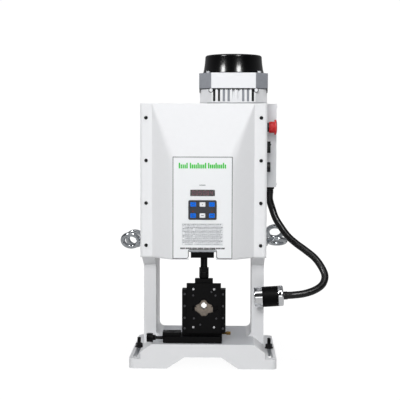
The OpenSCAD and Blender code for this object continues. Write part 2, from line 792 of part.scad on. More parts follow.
// The lamp head is drawn along its own axis, from the end of the neck towards the die
lamp_end = neck_exit + neck_route[len(neck_route) - 1];
lamp_l = lamp_rear_l + lamp_body_l + lamp_front_l;
lamp_wall = 3;
lamp_bore = lamp_d - 2 * lamp_wall;
module lamp_axis() {
    translate(lamp_end) rotate([0, -90 - lamp_tilt, 0]) children();
}
module lamp_body() {
    color(black) lamp_axis() difference() {
        union() {
            translate([0, 0, lamp_rear_l]) cylinder(d = lamp_d, h = lamp_body_l);
            translate([0, 0, lamp_wall]) cylinder(d = lamp_bore - 2 * run_gap, h = lamp_rear_l);
            translate([0, 0, lamp_rear_l + lamp_body_l - cut])
                cylinder(d = lamp_bore - 2 * run_gap, h = lamp_front_l / 2);
        }
        translate([0, 0, lamp_rear_l + lamp_wall])
            cylinder(d = lamp_bore - 2 * lamp_wall, h = lamp_body_l + lamp_front_l);
    }
}
module lamp_rings() {
    color(chrome) lamp_axis() {
        difference() {
            cylinder(d = lamp_d, h = lamp_rear_l);
            translate([0, 0, lamp_wall]) cylinder(d = lamp_bore, h = lamp_rear_l);
        }
        difference() {
            translate([0, 0, lamp_rear_l + lamp_body_l]) cylinder(d = lamp_d, h = lamp_front_l);
            translate([0, 0, lamp_rear_l + lamp_body_l - cut])
                cylinder(d = lamp_bore, h = lamp_front_l + 2 * cut);
        }
    }
}
lens_t = 3;
module lamp_lens() {
    color(clear) lamp_axis() translate([0, 0, lamp_rear_l + lamp_body_l + lamp_front_l / 2 - cut])
        cylinder(d = lamp_bore - 2 * run_gap, h = lens_t);
}

// Lifting eyes: side, place front to rear, height and tilt of the ring
eye_front_set = 48;
eye_rear_set = 27;
eye_up = 38;
eye_front_y = head_front + eye_front_set;
eye_rear_y = leg_rear - eye_rear_set;
eye_z = head_z + eye_up;
eye_sink = 8;
eye_shank_l = 20;
eye_hole_end = plate_out - eye_shank_l - cut;
eye_collar_d = 26;
eye_collar_l = 7;
eye_places = [
    [-1, eye_front_y, eye_z, 35], [-1, eye_rear_y, eye_z - eye_sink, 20],
    [1, eye_front_y, eye_z, 68], [1, eye_rear_y, eye_z + eye_wire, 38]
];
module eye_bolt(tilt) {
    rod_x(eye_thread, -side_sheet - eye_shank_l, run_gap, 0, 0);
    rod_x(eye_collar_d, 0, eye_collar_l, 0, 0);
    translate([eye_collar_l - eye_wire / 4 + eye_d / 2, 0, 0]) rotate([tilt, 0, 0]) rotate([90, 0, 0])
        rotate_extrude() translate([(eye_d - eye_wire) / 2, 0]) circle(d = eye_wire);
}
module eye_bolts() {
    color(chrome) for (e = eye_places)
        translate([e[0] * side_out, e[1], e[2]]) mirror([e[0] > 0 ? 0 : 1, 0, 0]) eye_bolt(e[3]);
}

// Hold-down studs with nut and washer, standing in the slots of the ears
washer_d = 22;
washer_t = 2.5;
stud_nut_d = 18.5;
stud_nut_h = 9;
stud_up = 27.5;
stud_foot = 3;
module hold_down_bolts() {
    color(black) for (s = [-1, 1]) translate([s * slot_mid_x, stud_y, 0]) {
        rod_z(stud_d, stud_foot, ear_h + stud_up, 0, 0);
        rod_z(washer_d, ear_h, ear_h + washer_t, 0, 0);
        translate([0, 0, ear_h + washer_t]) cylinder(d = stud_nut_d, h = stud_nut_h, $fn = 6);
    }
}

// Motor: finned housing on a foot flange, deep end shield, fan cap, stator, rotor and fan
spigot_d = 110;
spigot_l = 6;
stator_l = 56;
rotor_l = 52;
shield_roof = 8;
shield_z = body_z + body_h;
cap_gap = 1;
cap_seat_h = 4;
cap_z = shield_z + shield_h + cap_gap;
cap_top_d = cap_d - 2 * cap_lean;
cap_wall = 2.5;
cap_round = 5;
cap_fall = 1.5;
cap_side = cap_side_h - cap_round;
fin_foot = 2.5;
fin_span_share = 0.64;
fin_pitch = body_w * fin_span_share / fins;
module motor_outline(w, c) {
    polygon([
        [-w / 2 + c, -w / 2], [w / 2 - c, -w / 2], [w / 2, -w / 2 + c], [w / 2, w / 2 - c],
        [w / 2 - c, w / 2], [-w / 2 + c, w / 2], [-w / 2, w / 2 - c], [-w / 2, -w / 2 + c]
    ]);
}
module at_motor(z) {
    translate([motor_x, -motor_y, z]) children();
}
module motor_housing() {
    color(alloy) at_motor(0) difference() {
        union() {
            rod_z(flange_d, top_z, body_z, 0, 0);
            rod_z(spigot_d, top_z - spigot_l, top_z, 0, 0);
            translate([0, 0, body_z]) linear_extrude(height = body_h)
                motor_outline(body_w, shield_chamfer * body_w / shield_w);
        }
        rod_z(stator_d + 2 * run_gap, body_z, shield_z + cut, 0, 0);
        rod_z(motor_shaft_d + 2 * run_gap, top_z - spigot_l - cut, body_z + cut, 0, 0);
        for (a = [0:90:270], i = [0:fins - 1])
            rotate([0, 0, a]) translate([(i - (fins - 1) / 2) * fin_pitch, -body_w / 2, body_z + fin_foot])
                block([-fin_pitch / 4, -cut, 0], [fin_pitch / 4, fin_deep, body_h]);
    }
}
module end_shield() {
    color(alloy) at_motor(0) difference() {
        union() {
            translate([0, 0, shield_z])
                linear_extrude(height = shield_h) motor_outline(shield_w, shield_chamfer);
            rod_z(cap_seat_d, shield_z + shield_h, cap_z + cap_seat_h, 0, 0);
        }
        rod_z(stator_d + 2 * run_gap, shield_z - cut, shield_z + shield_h - shield_roof, 0, 0);
        rod_z(motor_shaft_d + 2 * run_gap, shield_z, cap_z + cap_seat_h + cut, 0, 0);
    }
}
// The inside of the cap narrows, so its seat on the shield is as wide as the cap is at the top of the seat
cap_narrow = cap_seat_h * (cap_lean + cap_fall) / (cap_side - cap_fall);
cap_seat_d = cap_d - 2 * (cap_wall + cap_narrow + run_gap);
cap_slots = 24;
cap_slot_w = 4;
cap_slot_shares = [0.3, 0.78];
module fan_cap() {
    r0 = cap_d / 2;
    r1 = cap_top_d / 2;
    top = cap_side_h + cap_crown_h;
    color(black) at_motor(cap_z) difference() {
        rotate_extrude() polygon(concat(
            [[r0 - cap_wall, 0], [r0, 0], [r1, cap_side]],
            [for (a = [15:15:90]) [r1 - cap_round * (1 - cos(a)), cap_side + cap_round * sin(a)]],
            [[r1 / 2, top - cap_fall], [0, top], [0, top - cap_wall], [r1 / 2, top - cap_fall - cap_wall],
             [r1 - cap_round, cap_side_h - cap_wall], [r1 - cap_wall - cap_fall, cap_side - cap_fall]]));
        for (i = [0:cap_slots - 1])
            rotate([0, 0, 360 * i / cap_slots])
                block([r1 * cap_slot_shares[0], -cap_slot_w / 2, cap_side_h - cap_wall - cut],
                      [r1 * cap_slot_shares[1], cap_slot_w / 2, top + cut]);
    }
}
stator_up = 4;
rotor_up = 6;
air_gap = 1;
shaft_end = 2;
module stator() {
    color(steel) at_motor(body_z + stator_up) difference() {
        cylinder(d = stator_d, h = stator_l);
        translate([0, 0, -cut]) cylinder(d = rotor_d + 2 * air_gap, h = stator_l + 2 * cut);
    }
}
fan_up = 8;
fan_z = cap_z + fan_up;
fan_h = 22;
fan_hub_d = 36;
fan_clear = 9;
fan_d = cap_top_d - 2 * cap_wall - 2 * fan_clear;
fan_blades = 7;
fan_blade_t = 3;
module rotor_shaft() {
    color(steel) at_motor(0) {
        rod_z(motor_shaft_d, coupling_mid, fan_z + fan_h + shaft_end, 0, 0);
        rod_z(rotor_d, body_z + rotor_up, body_z + rotor_up + rotor_l, 0, 0);
    }
}
module cooling_fan() {
    color(black) at_motor(fan_z) difference() {
        union() {
            cylinder(d = fan_hub_d, h = fan_h);
            for (i = [0:fan_blades - 1])
                rotate([0, 0, 360 * i / fan_blades])
                    block([fan_hub_d / 2 - fan_blade_t, -fan_blade_t / 2, cut],
                          [fan_d / 2, fan_blade_t / 2, fan_h - cut]);
        }
        translate([0, 0, -cut]) cylinder(d = motor_shaft_d + 2 * run_gap, h = fan_h + 2 * cut);
    }
}

// Coupling between the motor shaft and the worm shaft
coupling_d = 48;
coupling_l = 50;
coupling_down = 40;
coupling_mid = plate_top_z - coupling_down;
module shaft_coupling() {
    color(alloy) at_motor(coupling_mid - coupling_l / 2) difference() {
        cylinder(d = coupling_d, h = coupling_l);
        translate([0, 0, -cut]) cylinder(d = motor_shaft_d + 2 * run_gap, h = coupling_l + 2 * cut);
    }
}

// Gearbox: housing open to the rear, lid, worm and worm wheel, bearings
gear_cut_gap = 6;
wheel_d = 2 * (motor_x - worm_d / 2 - free_gap);
gearbox_wall = 10;
gearbox_y0 = bearing_plate_y + bearing_plate_t;
gearbox_behind = 24;
gearbox_y1 = -motor_y + wheel_w / 2 + gearbox_behind;
gearbox_x0 = -wheel_d / 2 - gear_cut_gap - gearbox_wall;
gearbox_x1 = motor_x + worm_d / 2 + gear_cut_gap + gearbox_wall / 2;
gearbox_z0 = crank_z - wheel_d / 2 - gear_cut_gap - gearbox_wall;
gearbox_z1 = crank_z + wheel_d / 2 + gear_cut_gap + gearbox_wall;
worm_bearing_d = 42;
worm_bearing_w = 12;
worm_l = 96;
worm_z0 = crank_z - worm_l / 2;
worm_z1 = crank_z + worm_l / 2;
worm_bearing_z0 = worm_z0 - gear_cut_gap - worm_bearing_w;
lid_t = 22;
module gearbox_housing() {
    color(alloy) difference() {
        block([gearbox_x0, gearbox_y0, gearbox_z0], [gearbox_x1, gearbox_y1, gearbox_z1]);
        rod_y(wheel_d + 2 * gear_cut_gap, gearbox_y0 + gearbox_wall, gearbox_y1 + cut, 0, crank_z);
        rod_y(crank_bearing_d, gearbox_y0 - cut, gearbox_y1, 0, crank_z);
        block([motor_x / 2, -motor_y - worm_d / 2 - gear_cut_gap, worm_z0 - gear_cut_gap],
              [motor_x + worm_d / 2 + gear_cut_gap / 2, gearbox_y1 + cut, worm_z1 + gear_cut_gap]);
        rod_z(worm_bearing_d + 2 * run_gap, worm_bearing_z0, crank_z, motor_x, -motor_y);
        rod_z(worm_bearing_d + 2 * run_gap, crank_z, gearbox_z1 + cut, motor_x, -motor_y);
    }
}
module gearbox_lid() {
    color(alloy) difference() {
        block([gearbox_x0, gearbox_y1, gearbox_z0], [gearbox_x1, gearbox_y1 + lid_t, gearbox_z1]);
        rod_y(crank_bearing_d + 2 * run_gap, gearbox_y1 - cut, gearbox_y1 + crank_bearing_w, 0, crank_z);
    }
}
worm_pitch = PI * wheel_d / wheel_teeth;
worm_deep = 3;
worm_sides = 36;
worm_lead = worm_pitch * worm_starts;
function worm_r(a) = worm_d / 2 - worm_deep * (1 + sin(worm_starts * a)) / 2;
module worm_thread() {
    translate([0, 0, worm_z0])
        linear_extrude(height = worm_l, twist = 360 * worm_l / worm_lead, slices = worm_sides)
            polygon([for (i = [0:worm_sides - 1])
                let (a = 360 * i / worm_sides) worm_r(a) * [cos(a), sin(a)]]);
}
module worm() {
    color(steel) at_motor(0) {
        worm_thread();
        rod_z(motor_shaft_d, worm_bearing_z0, worm_z0, 0, 0);
        rod_z(motor_shaft_d, worm_z1, coupling_mid, 0, 0);
    }
}
wheel_tooth = 4;
// Each tooth as shares of its pitch round the wheel and of its height
tooth_shares = [[-0.36, 0], [-0.14, 1], [0.14, 1], [0.36, 0]];
module wheel_outline() {
    polygon([for (i = [0:wheel_teeth - 1], t = tooth_shares)
        let (a = 360 * (i + t[0]) / wheel_teeth, r = wheel_d / 2 - wheel_tooth * (1 - t[1]))
            r * [cos(a), sin(a)]]);
}
module worm_wheel() {
    color(brass) translate([0, -motor_y + wheel_w / 2, crank_z]) rotate([90, 0, 0]) difference() {
        union() {
            linear_extrude(height = wheel_w) wheel_outline();
            translate([0, 0, -hub_out]) cylinder(d = hub_d, h = wheel_w + 2 * hub_out);
        }
        translate([0, 0, -hub_out - cut])
            cylinder(d = crank_d + 2 * run_gap, h = wheel_w + 2 * hub_out + 2 * cut);
    }
}
hub_out = 8;
hub_d = 62;
// Bearing with a shallow groove between its rings on both faces
ring_share = 0.28;
groove_share = 0.08;
module bearing_ring(od, id, w) {
    groove = w * groove_share;
    ring = (od - id) * ring_share;
    difference() {
        cylinder(d = od, h = w);
        translate([0, 0, -cut]) cylinder(d = id + 2 * run_gap, h = w + 2 * cut);
        for (z = [-cut, w - groove]) translate([0, 0, z]) difference() {
            cylinder(d = od - ring, h = cut + groove);
            cylinder(d = id + ring, h = cut + groove);
        }
    }
}
module shaft_bearings() {
    color(steel) {
        at_motor(worm_bearing_z0) bearing_ring(worm_bearing_d, motor_shaft_d, worm_bearing_w);
        at_motor(worm_z1 + gear_cut_gap) bearing_ring(worm_bearing_d, motor_shaft_d, worm_bearing_w);
        translate([0, bearing_plate_y + bearing_plate_t - bearing_shoulder, crank_z]) rotate([90, 0, 0])
            bearing_ring(crank_bearing_d, crank_d, crank_bearing_w);
        translate([0, gearbox_y1 + crank_bearing_w, crank_z]) rotate([90, 0, 0])
            bearing_ring(crank_bearing_d, crank_d, crank_bearing_w);
    }
}

// Crankshaft with its eccentric pin at the top, and the cam roller that drives the ram
throw = stroke / 2;
disc_d = 74;
ram_front = -ram_y - ram_t / 2;
ram_back = -ram_y + ram_t / 2;
disc_y1 = bearing_plate_y - free_gap;
disc_y0 = ram_back + free_gap;
pin_d = 20;
roller_w = 17;
keeper_t = 2;
keeper_d = 28;
module crankshaft() {
    color(steel) {
        rod_y(crank_d, disc_y1, gearbox_y1 + crank_bearing_w, 0, crank_z);
        rod_y(disc_d, disc_y0, disc_y1, 0, crank_z);
        rod_y(pin_d, ram_front + keeper_t, disc_y0, 0, crank_z + throw);
        rod_y(keeper_d, ram_front + free_gap, ram_front + free_gap + keeper_t, 0, crank_z + throw);
    }
}
roller_y0 = ram_front + free_gap + keeper_t + free_gap;
module cam_roller() {
    color(steel) difference() {
        rod_y(roller_d, roller_y0, roller_y0 + roller_w, 0, crank_z + throw);
        rod_y(pin_d + 2 * run_gap, roller_y0 - cut, roller_y0 + roller_w + cut, 0, crank_z + throw);
    }
}

// Ram: flat slide with a yoke slot. The slot is a little higher than the roller, because the coupled
// model lets the ram travel evenly with the crank angle.
yoke_share = 0.125;
yoke_gap = stroke * yoke_share + free_gap;
yoke_h = roller_d + 2 * yoke_gap;
yoke_w = roller_d + stroke + 2 * yoke_gap;
yoke_r = 10;
ram_head_h = 22;
ram_z0 = holder_z + holder_h;
ram_z1 = crank_z + throw + yoke_h / 2 + ram_head_h;
module ram() {
    color(steel) difference() {
        block([-ram_w / 2, ram_front, ram_z0], [ram_w / 2, ram_back, ram_z1]);
        along_y(ram_front - cut, ram_back + cut) translate([0, crank_z + throw])
            round_rect(yoke_w, yoke_h, yoke_r);
    }
}

// Ram guides: two rails on the bearing plate, each with a front keeper strip that laps the ram
guide_w = 22;
guide_lap = 8;
keeper_strip_t = 7;
guide_gap = 0.1;
guide_set = 4;
guide_over = 16;
guide_z0 = bearing_plate_z0 + guide_set;
guide_z1 = ram_z1 + guide_over;
module ram_guides() {
    color(alloy) for (s = [-1, 1]) {
        x0 = ram_w / 2 + guide_gap;
        block([s > 0 ? x0 : -x0 - guide_w, ram_front, guide_z0],
              [s > 0 ? x0 + guide_w : -x0, bearing_plate_y, guide_z1]);
        block([s > 0 ? x0 - guide_lap : -x0 - guide_w, ram_front - guide_gap - keeper_strip_t, guide_z0],
              [s > 0 ? x0 + guide_w : -x0 + guide_lap, ram_front - guide_gap, guide_z1]);
        block([s > 0 ? x0 : -x0 - guide_w, ram_front - guide_gap, guide_z0],
              [s > 0 ? x0 + guide_w : -x0, ram_front, guide_z1]);
    }
}

// Tool holder under the ram, and the rod that joins it to the die
holder_x = -2;
holder_d = 30;
rod_up = 10;
coupler_d = 24.6;
coupler_h = 17;
coupler_foot = 3;
coupler_bevel = 2.5;
nut_h = 11.5;
nut_d = 24.6;
module tool_holder() {
    color(black) difference() {
        block([holder_x - holder_w / 2, -ram_y - holder_d / 2, holder_z],
              [holder_x + holder_w / 2, -ram_y + holder_d / 2, holder_z + holder_h]);
        rod_z(rod_d + 2 * run_gap, holder_z - cut, holder_z + rod_up + run_gap, die_x, -ram_y);
    }
}
module die_rod() {
    color(black) {
        rod_z(rod_d, slide_top, holder_z + rod_up, die_x, -ram_y);
        rod_z(coupler_d, slide_top + coupler_foot, slide_top + coupler_h, die_x, -ram_y);
        translate([die_x, -ram_y, slide_top])
            cylinder(d1 = coupler_d - 2 * coupler_bevel, d2 = coupler_d, h = coupler_foot);
    }
}
module lock_nut() {
    color(black) translate([die_x, -ram_y, slide_top + coupler_h]) difference() {
        cylinder(d = nut_d, h = nut_h, $fn = 6);
        translate([0, 0, -cut]) cylinder(d = rod_d + 2 * run_gap, h = nut_h + 2 * cut);
    }
}

// Hexagon die: body with a channel, front plate with a window, slide, jaws and screws
die_front = -ram_y - die_d / 2;
die_back = -ram_y + die_d / 2;
body_front = die_front + front_plate_t;
die_x0 = die_x - die_w / 2;
die_x1 = die_x + die_w / 2;
die_z0 = bed_h + clamp_h;
die_top_z = die_z0 + die_h;
front_plate_w = die_w - 2 * die_side;
foot_cut_w = 9.5;
foot_cut_h = 7;
slide_d = 20;
channel_gap = 0.15;
slide_back = body_front + slide_d;
slide_top = die_top_z + front_plate_up + slide_up;
jaw_z = die_z0 + jaw_up;
jaw_l = 24;
jaw_base = 21;
slide_low = jaw_z + stroke + jaw_l;
jaw_seat = jaw_z - jaw_base;
jaw_set = 1;
jaw_front = body_front + jaw_set;
jaw_back = slide_back - jaw_set;
sight_d = 20;
sight_up = 4;
boss_d = 19;
boss_proud = 5;
sight_gap = 1.5;
sight_slot_r = boss_d / 2 + sight_gap;
upper_jaw_z = jaw_z + stroke + free_gap;
jaw_head_h = 8;
module die_body() {
    color(black) difference() {
        block([die_x0, body_front, die_z0], [die_x1, die_back, die_top_z]);
        block([die_x1 - foot_cut_w, body_front - cut, die_z0 - cut],
              [die_x1 + cut, die_back + cut, die_z0 + foot_cut_h]);
        block([die_x - slide_w / 2 - channel_gap, body_front - cut, jaw_seat],
              [die_x + slide_w / 2 + channel_gap, slide_back + channel_gap, die_top_z + cut]);
        rod_y(sight_d, body_front, die_back + cut, die_x, jaw_z + sight_up);
        for (p = side_screws)
            rod_y(die_screw_d / 2 + 2 * run_gap, body_front - cut, body_front + die_screw_l, p[0], p[1]);
        rod_x(stop_thread + 2 * run_gap, stop_x0 - stop_deep - cut, stop_x0 + cut, -ram_y, stop_z);
    }
}
die_screw_d = 6;
die_screw_l = 9;
die_screw_head = 2.4;
inner_screw_d = 5;
side_screw_in = 7;
side_screw_shares = [0.15, 0.38, 0.64, 0.9];
side_screws = [
    for (s = [-1, 1], q = side_screw_shares) [die_x + s * (die_w / 2 - side_screw_in), die_z0 + q * die_h]
];
plate_z0 = die_z0 + foot_cut_h;
plate_z1 = die_top_z + front_plate_up;
front_screw_x = 26.5;
front_screw_in = 15;
front_screws = [
    for (s = [-1, 1], z = [plate_z0 + front_screw_in, plate_z1 - front_screw_in])
        [die_x + s * front_screw_x, z]
];
// Screws that hold the side jaws, as shares of half the front plate's width and of its height over the jaws
inner_screw_shares = [
    [-0.61, 0.52], [0.45, 0.66], [0.68, 0.52], [-0.57, -0.41], [0.73, -0.41], [-0.2, -0.66]
];
inner_screws = [
    for (q = inner_screw_shares) [die_x + q[0] * front_plate_w / 2, jaw_z + q[1] * (plate_z1 - jaw_z)]
];
// Outline of the window as shares of half the width of the front plate
window_shares = [
    [-0.66, -0.18], [-0.66, 0.18], [-0.55, 0.11], [-0.27, 0.27], [0.27, 0.27], [0.68, 0.11], [0.82, 0.18],
    [0.82, -0.14], [0.27, -0.32], [-0.27, -0.32], [-0.55, -0.11]
];
module window_outline() {
    polygon([for (q = window_shares) front_plate_w / 2 * q]);
    square([2 * sight_slot_r, 2 * sight_slot_r], center = true);
    for (s = [-1, 1]) translate([0, s * sight_slot_r]) circle(r = sight_slot_r);
}
module die_front_plate() {
    color(black) difference() {
        block([die_x - front_plate_w / 2, die_front, plate_z0],
              [die_x + front_plate_w / 2, body_front - run_gap, plate_z1]);
        along_y(die_front - cut, body_front + cut) translate([die_x, jaw_z]) window_outline();
        for (p = front_screws) rod_y(die_screw_d, die_front - cut, die_front + die_screw_head, p[0], p[1]);
    }
}
module die_slide() {
    color(black)
        block([die_x - slide_w / 2, body_front, slide_low], [die_x + slide_w / 2, slide_back, slide_top]);
}
// Hexagon at the point where the jaws meet; each jaw keeps one half of it
module crimp_cut(z) {
    along_y(die_front - cut, slide_back + cut) translate([die_x, z]) circle(d = crimp_af / cos(30), $fn = 6);
}
// Nose of a jaw from one height to another, with half a round boss standing out of the window
module nose(z0, z1, meet, up) {
    half = nose_w / 2 - channel_gap;
    difference() {
        union() {
            block([die_x - half, jaw_front, z0], [die_x + half, jaw_back, z1]);
            block([die_x - half, body_front - boss_proud, up > 0 ? meet : meet - half],
                  [die_x + half, jaw_front + cut, up > 0 ? meet + half : meet]);
            rod_y(boss_d, body_front - boss_proud, jaw_front - free_gap, die_x, meet);
        }
        crimp_cut(meet);
        block([die_x - boss_d, die_front - cut, up > 0 ? meet - boss_d : meet],
              [die_x + boss_d, jaw_front + cut, up > 0 ? meet : meet + boss_d]);
    }
}
module upper_jaw() {
    color(steel) {
        nose(upper_jaw_z, slide_low - jaw_head_h, upper_jaw_z, 1);
        block([die_x - slide_w / 2, jaw_front, slide_low - jaw_head_h],
              [die_x + slide_w / 2, jaw_back, slide_low]);
    }
}
// Lower jaw, and the two side jaws that guide the noses
side_jaw_rise = 11;
side_jaw_ear = 9;
side_jaw_step = 3;
side_jaw_notch = 5;
side_jaw_tip = 1;
module fixed_jaws() {
    color(bronzed) {
        nose(jaw_seat, jaw_z, jaw_z, -1);
        for (s = [-1, 1])
            along_y(jaw_front, jaw_back) translate([die_x, jaw_z]) polygon([
                [s * nose_w / 2, -jaw_base], [s * slide_w / 2, -jaw_base], [s * slide_w / 2, side_jaw_step],
                [s * (slide_w / 2 - side_jaw_notch), 0], [s * (slide_w / 2 - side_jaw_tip), side_jaw_ear],
                [s * nose_w / 2, side_jaw_rise]
            ]);
    }
}
module die_screw(x, y, z, d) {
    difference() {
        rod_y(d, y - die_screw_head, y, x, z);
        translate([x, y - die_screw_head - cut, z]) rotate([-90, 0, 0])
            cylinder(d = d / 2, h = cut + die_screw_head / 2, $fn = 6);
    }
}
module die_screws() {
    color(steel) {
        for (p = side_screws) {
            die_screw(p[0], body_front, p[1], die_screw_d);
            rod_y(die_screw_d / 2, body_front - run_gap, body_front + die_screw_l - cut, p[0], p[1]);
        }
        for (p = inner_screws)
            die_screw(p[0], die_front, p[1], inner_screw_d);
        for (p = front_screws)
            die_screw(p[0], die_front + die_screw_head - run_gap, p[1], die_screw_d - 2 * run_gap);
    }
}

// Clamp plate on the bed, clamp jaw, knurled screw and brass stop
clamp_right = 47;
clamp_front = 34;
clamp_screw_set = 12;
knob_lift = 0.5;
clamp_x1 = die_x + clamp_right;
clamp_x0 = clamp_x1 - clamp_w;
clamp_y0 = -ram_y - clamp_front;
clamp_y1 = clamp_y0 + clamp_d;
clamp_screw_y = clamp_y0 + clamp_screw_set;
clamp_screw_z = bed_h + knob_lift + knob_d / 2;
clamp_bevel = 6;
clamp_bolt_d = 8;
clamp_bolt_deep = 12;
clamp_head_d = 13;
clamp_head_h = 8;
clamp_bolt_set = 10;
clamp_bolt_places = [
    [clamp_x0 + 3 * clamp_bolt_set, clamp_y1 - clamp_bolt_set],
    [clamp_x1 - 2 * clamp_bolt_set, clamp_y1 - clamp_bolt_set]
];
pocket_w = 14;
pocket_l = 16;
pocket_set = 10;
pocket_floor = 4;
pocket_x0 = clamp_x0 + pocket_set;
pocket_x1 = pocket_x0 + pocket_l;
module clamp_plate() {
    color(black) {
        difference() {
            block([clamp_x0, clamp_y0, bed_h], [clamp_x1, clamp_y1, bed_h + clamp_h]);
            rod_x(clamp_thread + 2 * run_gap, clamp_x0 - cut, pocket_x1, clamp_screw_y, clamp_screw_z);
            block([pocket_x0, clamp_screw_y - pocket_w / 2, bed_h + pocket_floor],
                  [pocket_x1, clamp_screw_y + pocket_w / 2, bed_h + clamp_h + cut]);
            translate([clamp_x0, clamp_y0, 0]) rotate([0, 0, 45])
                block([-clamp_bevel, -clamp_bevel, bed_h - cut],
                      [clamp_bevel / 2, clamp_bevel, bed_h + clamp_h + cut]);
            for (p = clamp_bolt_places) {
                rod_z(clamp_bolt_d + 2 * run_gap, bed_h - cut, bed_h + clamp_h + cut, p[0], p[1]);
                rod_z(clamp_head_d + 2 * run_gap, bed_h + clamp_h - clamp_head_h, bed_h + clamp_h + cut,
                      p[0], p[1]);
            }
        }
        for (p = clamp_bolt_places) {
            rod_z(clamp_bolt_d, bed_h - clamp_bolt_deep + cut, bed_h + clamp_h - clamp_head_h, p[0], p[1]);
            rod_z(clamp_head_d, bed_h + clamp_h - clamp_head_h, bed_h + clamp_h - run_gap, p[0], p[1]);
        }
    }
}
jaw_bar_h = 9;
jaw_bar_out = 1;
jaw_bar_x0 = clamp_x0 - jaw_bar_out;
jaw_travel = 2.5;
jaw_bar_x1 = die_x0 - jaw_travel - free_gap;
jaw_bar_d = 30;
jaw_slot_w = 7;
jaw_slot_l = 24;
lug_l = 8;
module clamp_jaw() {
    color(black) {
        difference() {
            block([jaw_bar_x0, clamp_screw_y - pocket_w / 2 + free_gap, bed_h + clamp_h + free_gap],
                  [jaw_bar_x1, clamp_screw_y + jaw_bar_d, bed_h + clamp_h + free_gap + jaw_bar_h]);
            translate([(jaw_bar_x0 + jaw_bar_x1) / 2, clamp_screw_y + jaw_bar_d / 2, bed_h + clamp_h - cut])
                linear_extrude(height = jaw_bar_h + 3 * cut)
                    round_rect(jaw_slot_l, jaw_slot_w, jaw_slot_w / 2 - run_gap);
        }
        translate([pocket_x0 + free_gap, clamp_screw_y, bed_h])
            block([0, -pocket_w / 2 + free_gap, pocket_floor + free_gap],
                  [lug_l, pocket_w / 2 - free_gap, clamp_h + free_gap]);
    }
}
knob_out = 26;
knob_x1 = clamp_x0 - knob_out;
clamp_nut_l = 7;
clamp_nut_d = 14;
knob_ribs = 24;
module clamp_screw() {
    color(black) translate([0, clamp_screw_y, clamp_screw_z]) {
        difference() {
            rod_x(knob_d, knob_x1 - knob_l, knob_x1, 0, 0);
            for (i = [0:knob_ribs - 1])
                rotate([360 * i / knob_ribs, 0, 0]) translate([knob_x1 - knob_l - cut, knob_d / 2, 0])
                    rotate([45, 0, 0]) cube([knob_l + 2 * cut, knob_rib, knob_rib]);
        }
        rod_x(clamp_thread, knob_x1, pocket_x0, 0, 0);
        translate([knob_x1, 0, 0]) rotate([0, 90, 0]) cylinder(d = clamp_nut_d, h = clamp_nut_l, $fn = 6);
    }
}
knob_rib = 0.8;

// Brass stop screw in the foot of the die, under its overhanging side
stop_thread = 6;
stop_head_d = 9;
stop_head_l = 11;
stop_deep = 12;
stop_x0 = die_x1 - foot_cut_w;
stop_z = die_z0 + foot_cut_h / 2;
stop_ribs = 16;
stop_neck_l = 2;
stop_head_x = die_x1 + stop_neck_l;
module stop_screw() {
    color(brass) {
        rod_x(stop_thread, stop_x0 - stop_deep, stop_head_x, -ram_y, stop_z);
        difference() {
            rod_x(stop_head_d, stop_head_x, stop_head_x + stop_head_l, -ram_y, stop_z);
            for (i = [0:stop_ribs - 1])
                translate([0, -ram_y, stop_z]) rotate([360 * i / stop_ribs, 0, 0])
                    translate([stop_head_x - cut, stop_head_d / 2, 0]) rotate([45, 0, 0])
                        cube([stop_head_l + 2 * cut, knob_rib, knob_rib]);
        }
    }
}

base();
side_plate(-1);  // left_side_plate
side_plate(1);  // right_side_plate
top_plate();
bearing_plate();
front_cover();
rear_cover();
cover_screws();
control_panel();
display_window();
keypad_frame();
key_1();
key_2();
key_3();
key_4();
key_5();
key_6();
control_box();
box_lid();
estop_base();
estop_button();
rocker_bezel();
rocker_switch();
pedal_socket();
lamp_gland();
lamp_arm();
lamp_body();
lamp_rings();
lamp_lens();
eye_bolts();
hold_down_bolts();
motor_housing();
end_shield();
fan_cap();
stator();
rotor_shaft();
cooling_fan();
shaft_coupling();
gearbox_housing();
gearbox_lid();
worm();
worm_wheel();
shaft_bearings();
crankshaft();
cam_roller();
ram();
ram_guides();
tool_holder();
die_rod();
lock_nut();
die_slide();
die_body();
die_front_plate();
upper_jaw();
fixed_jaws();
die_screws();
clamp_plate();
clamp_jaw();
clamp_screw();
stop_screw();
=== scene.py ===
import math
import bpy
import bmesh
from mathutils import Matrix, Vector


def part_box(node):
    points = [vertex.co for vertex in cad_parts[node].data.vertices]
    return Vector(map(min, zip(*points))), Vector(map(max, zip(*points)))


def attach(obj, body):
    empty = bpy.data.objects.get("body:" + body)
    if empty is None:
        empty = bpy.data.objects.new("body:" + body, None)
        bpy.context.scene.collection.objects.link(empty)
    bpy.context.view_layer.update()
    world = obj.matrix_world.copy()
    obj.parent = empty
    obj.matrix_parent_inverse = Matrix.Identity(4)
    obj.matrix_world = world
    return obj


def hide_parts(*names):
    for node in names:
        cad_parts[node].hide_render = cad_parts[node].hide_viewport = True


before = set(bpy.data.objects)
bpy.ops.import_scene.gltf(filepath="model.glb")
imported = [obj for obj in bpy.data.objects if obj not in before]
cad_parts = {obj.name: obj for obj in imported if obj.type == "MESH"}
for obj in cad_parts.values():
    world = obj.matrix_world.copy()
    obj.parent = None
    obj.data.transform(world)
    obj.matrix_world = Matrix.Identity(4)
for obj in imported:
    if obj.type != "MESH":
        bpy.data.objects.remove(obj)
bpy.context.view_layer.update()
MM = 0.001

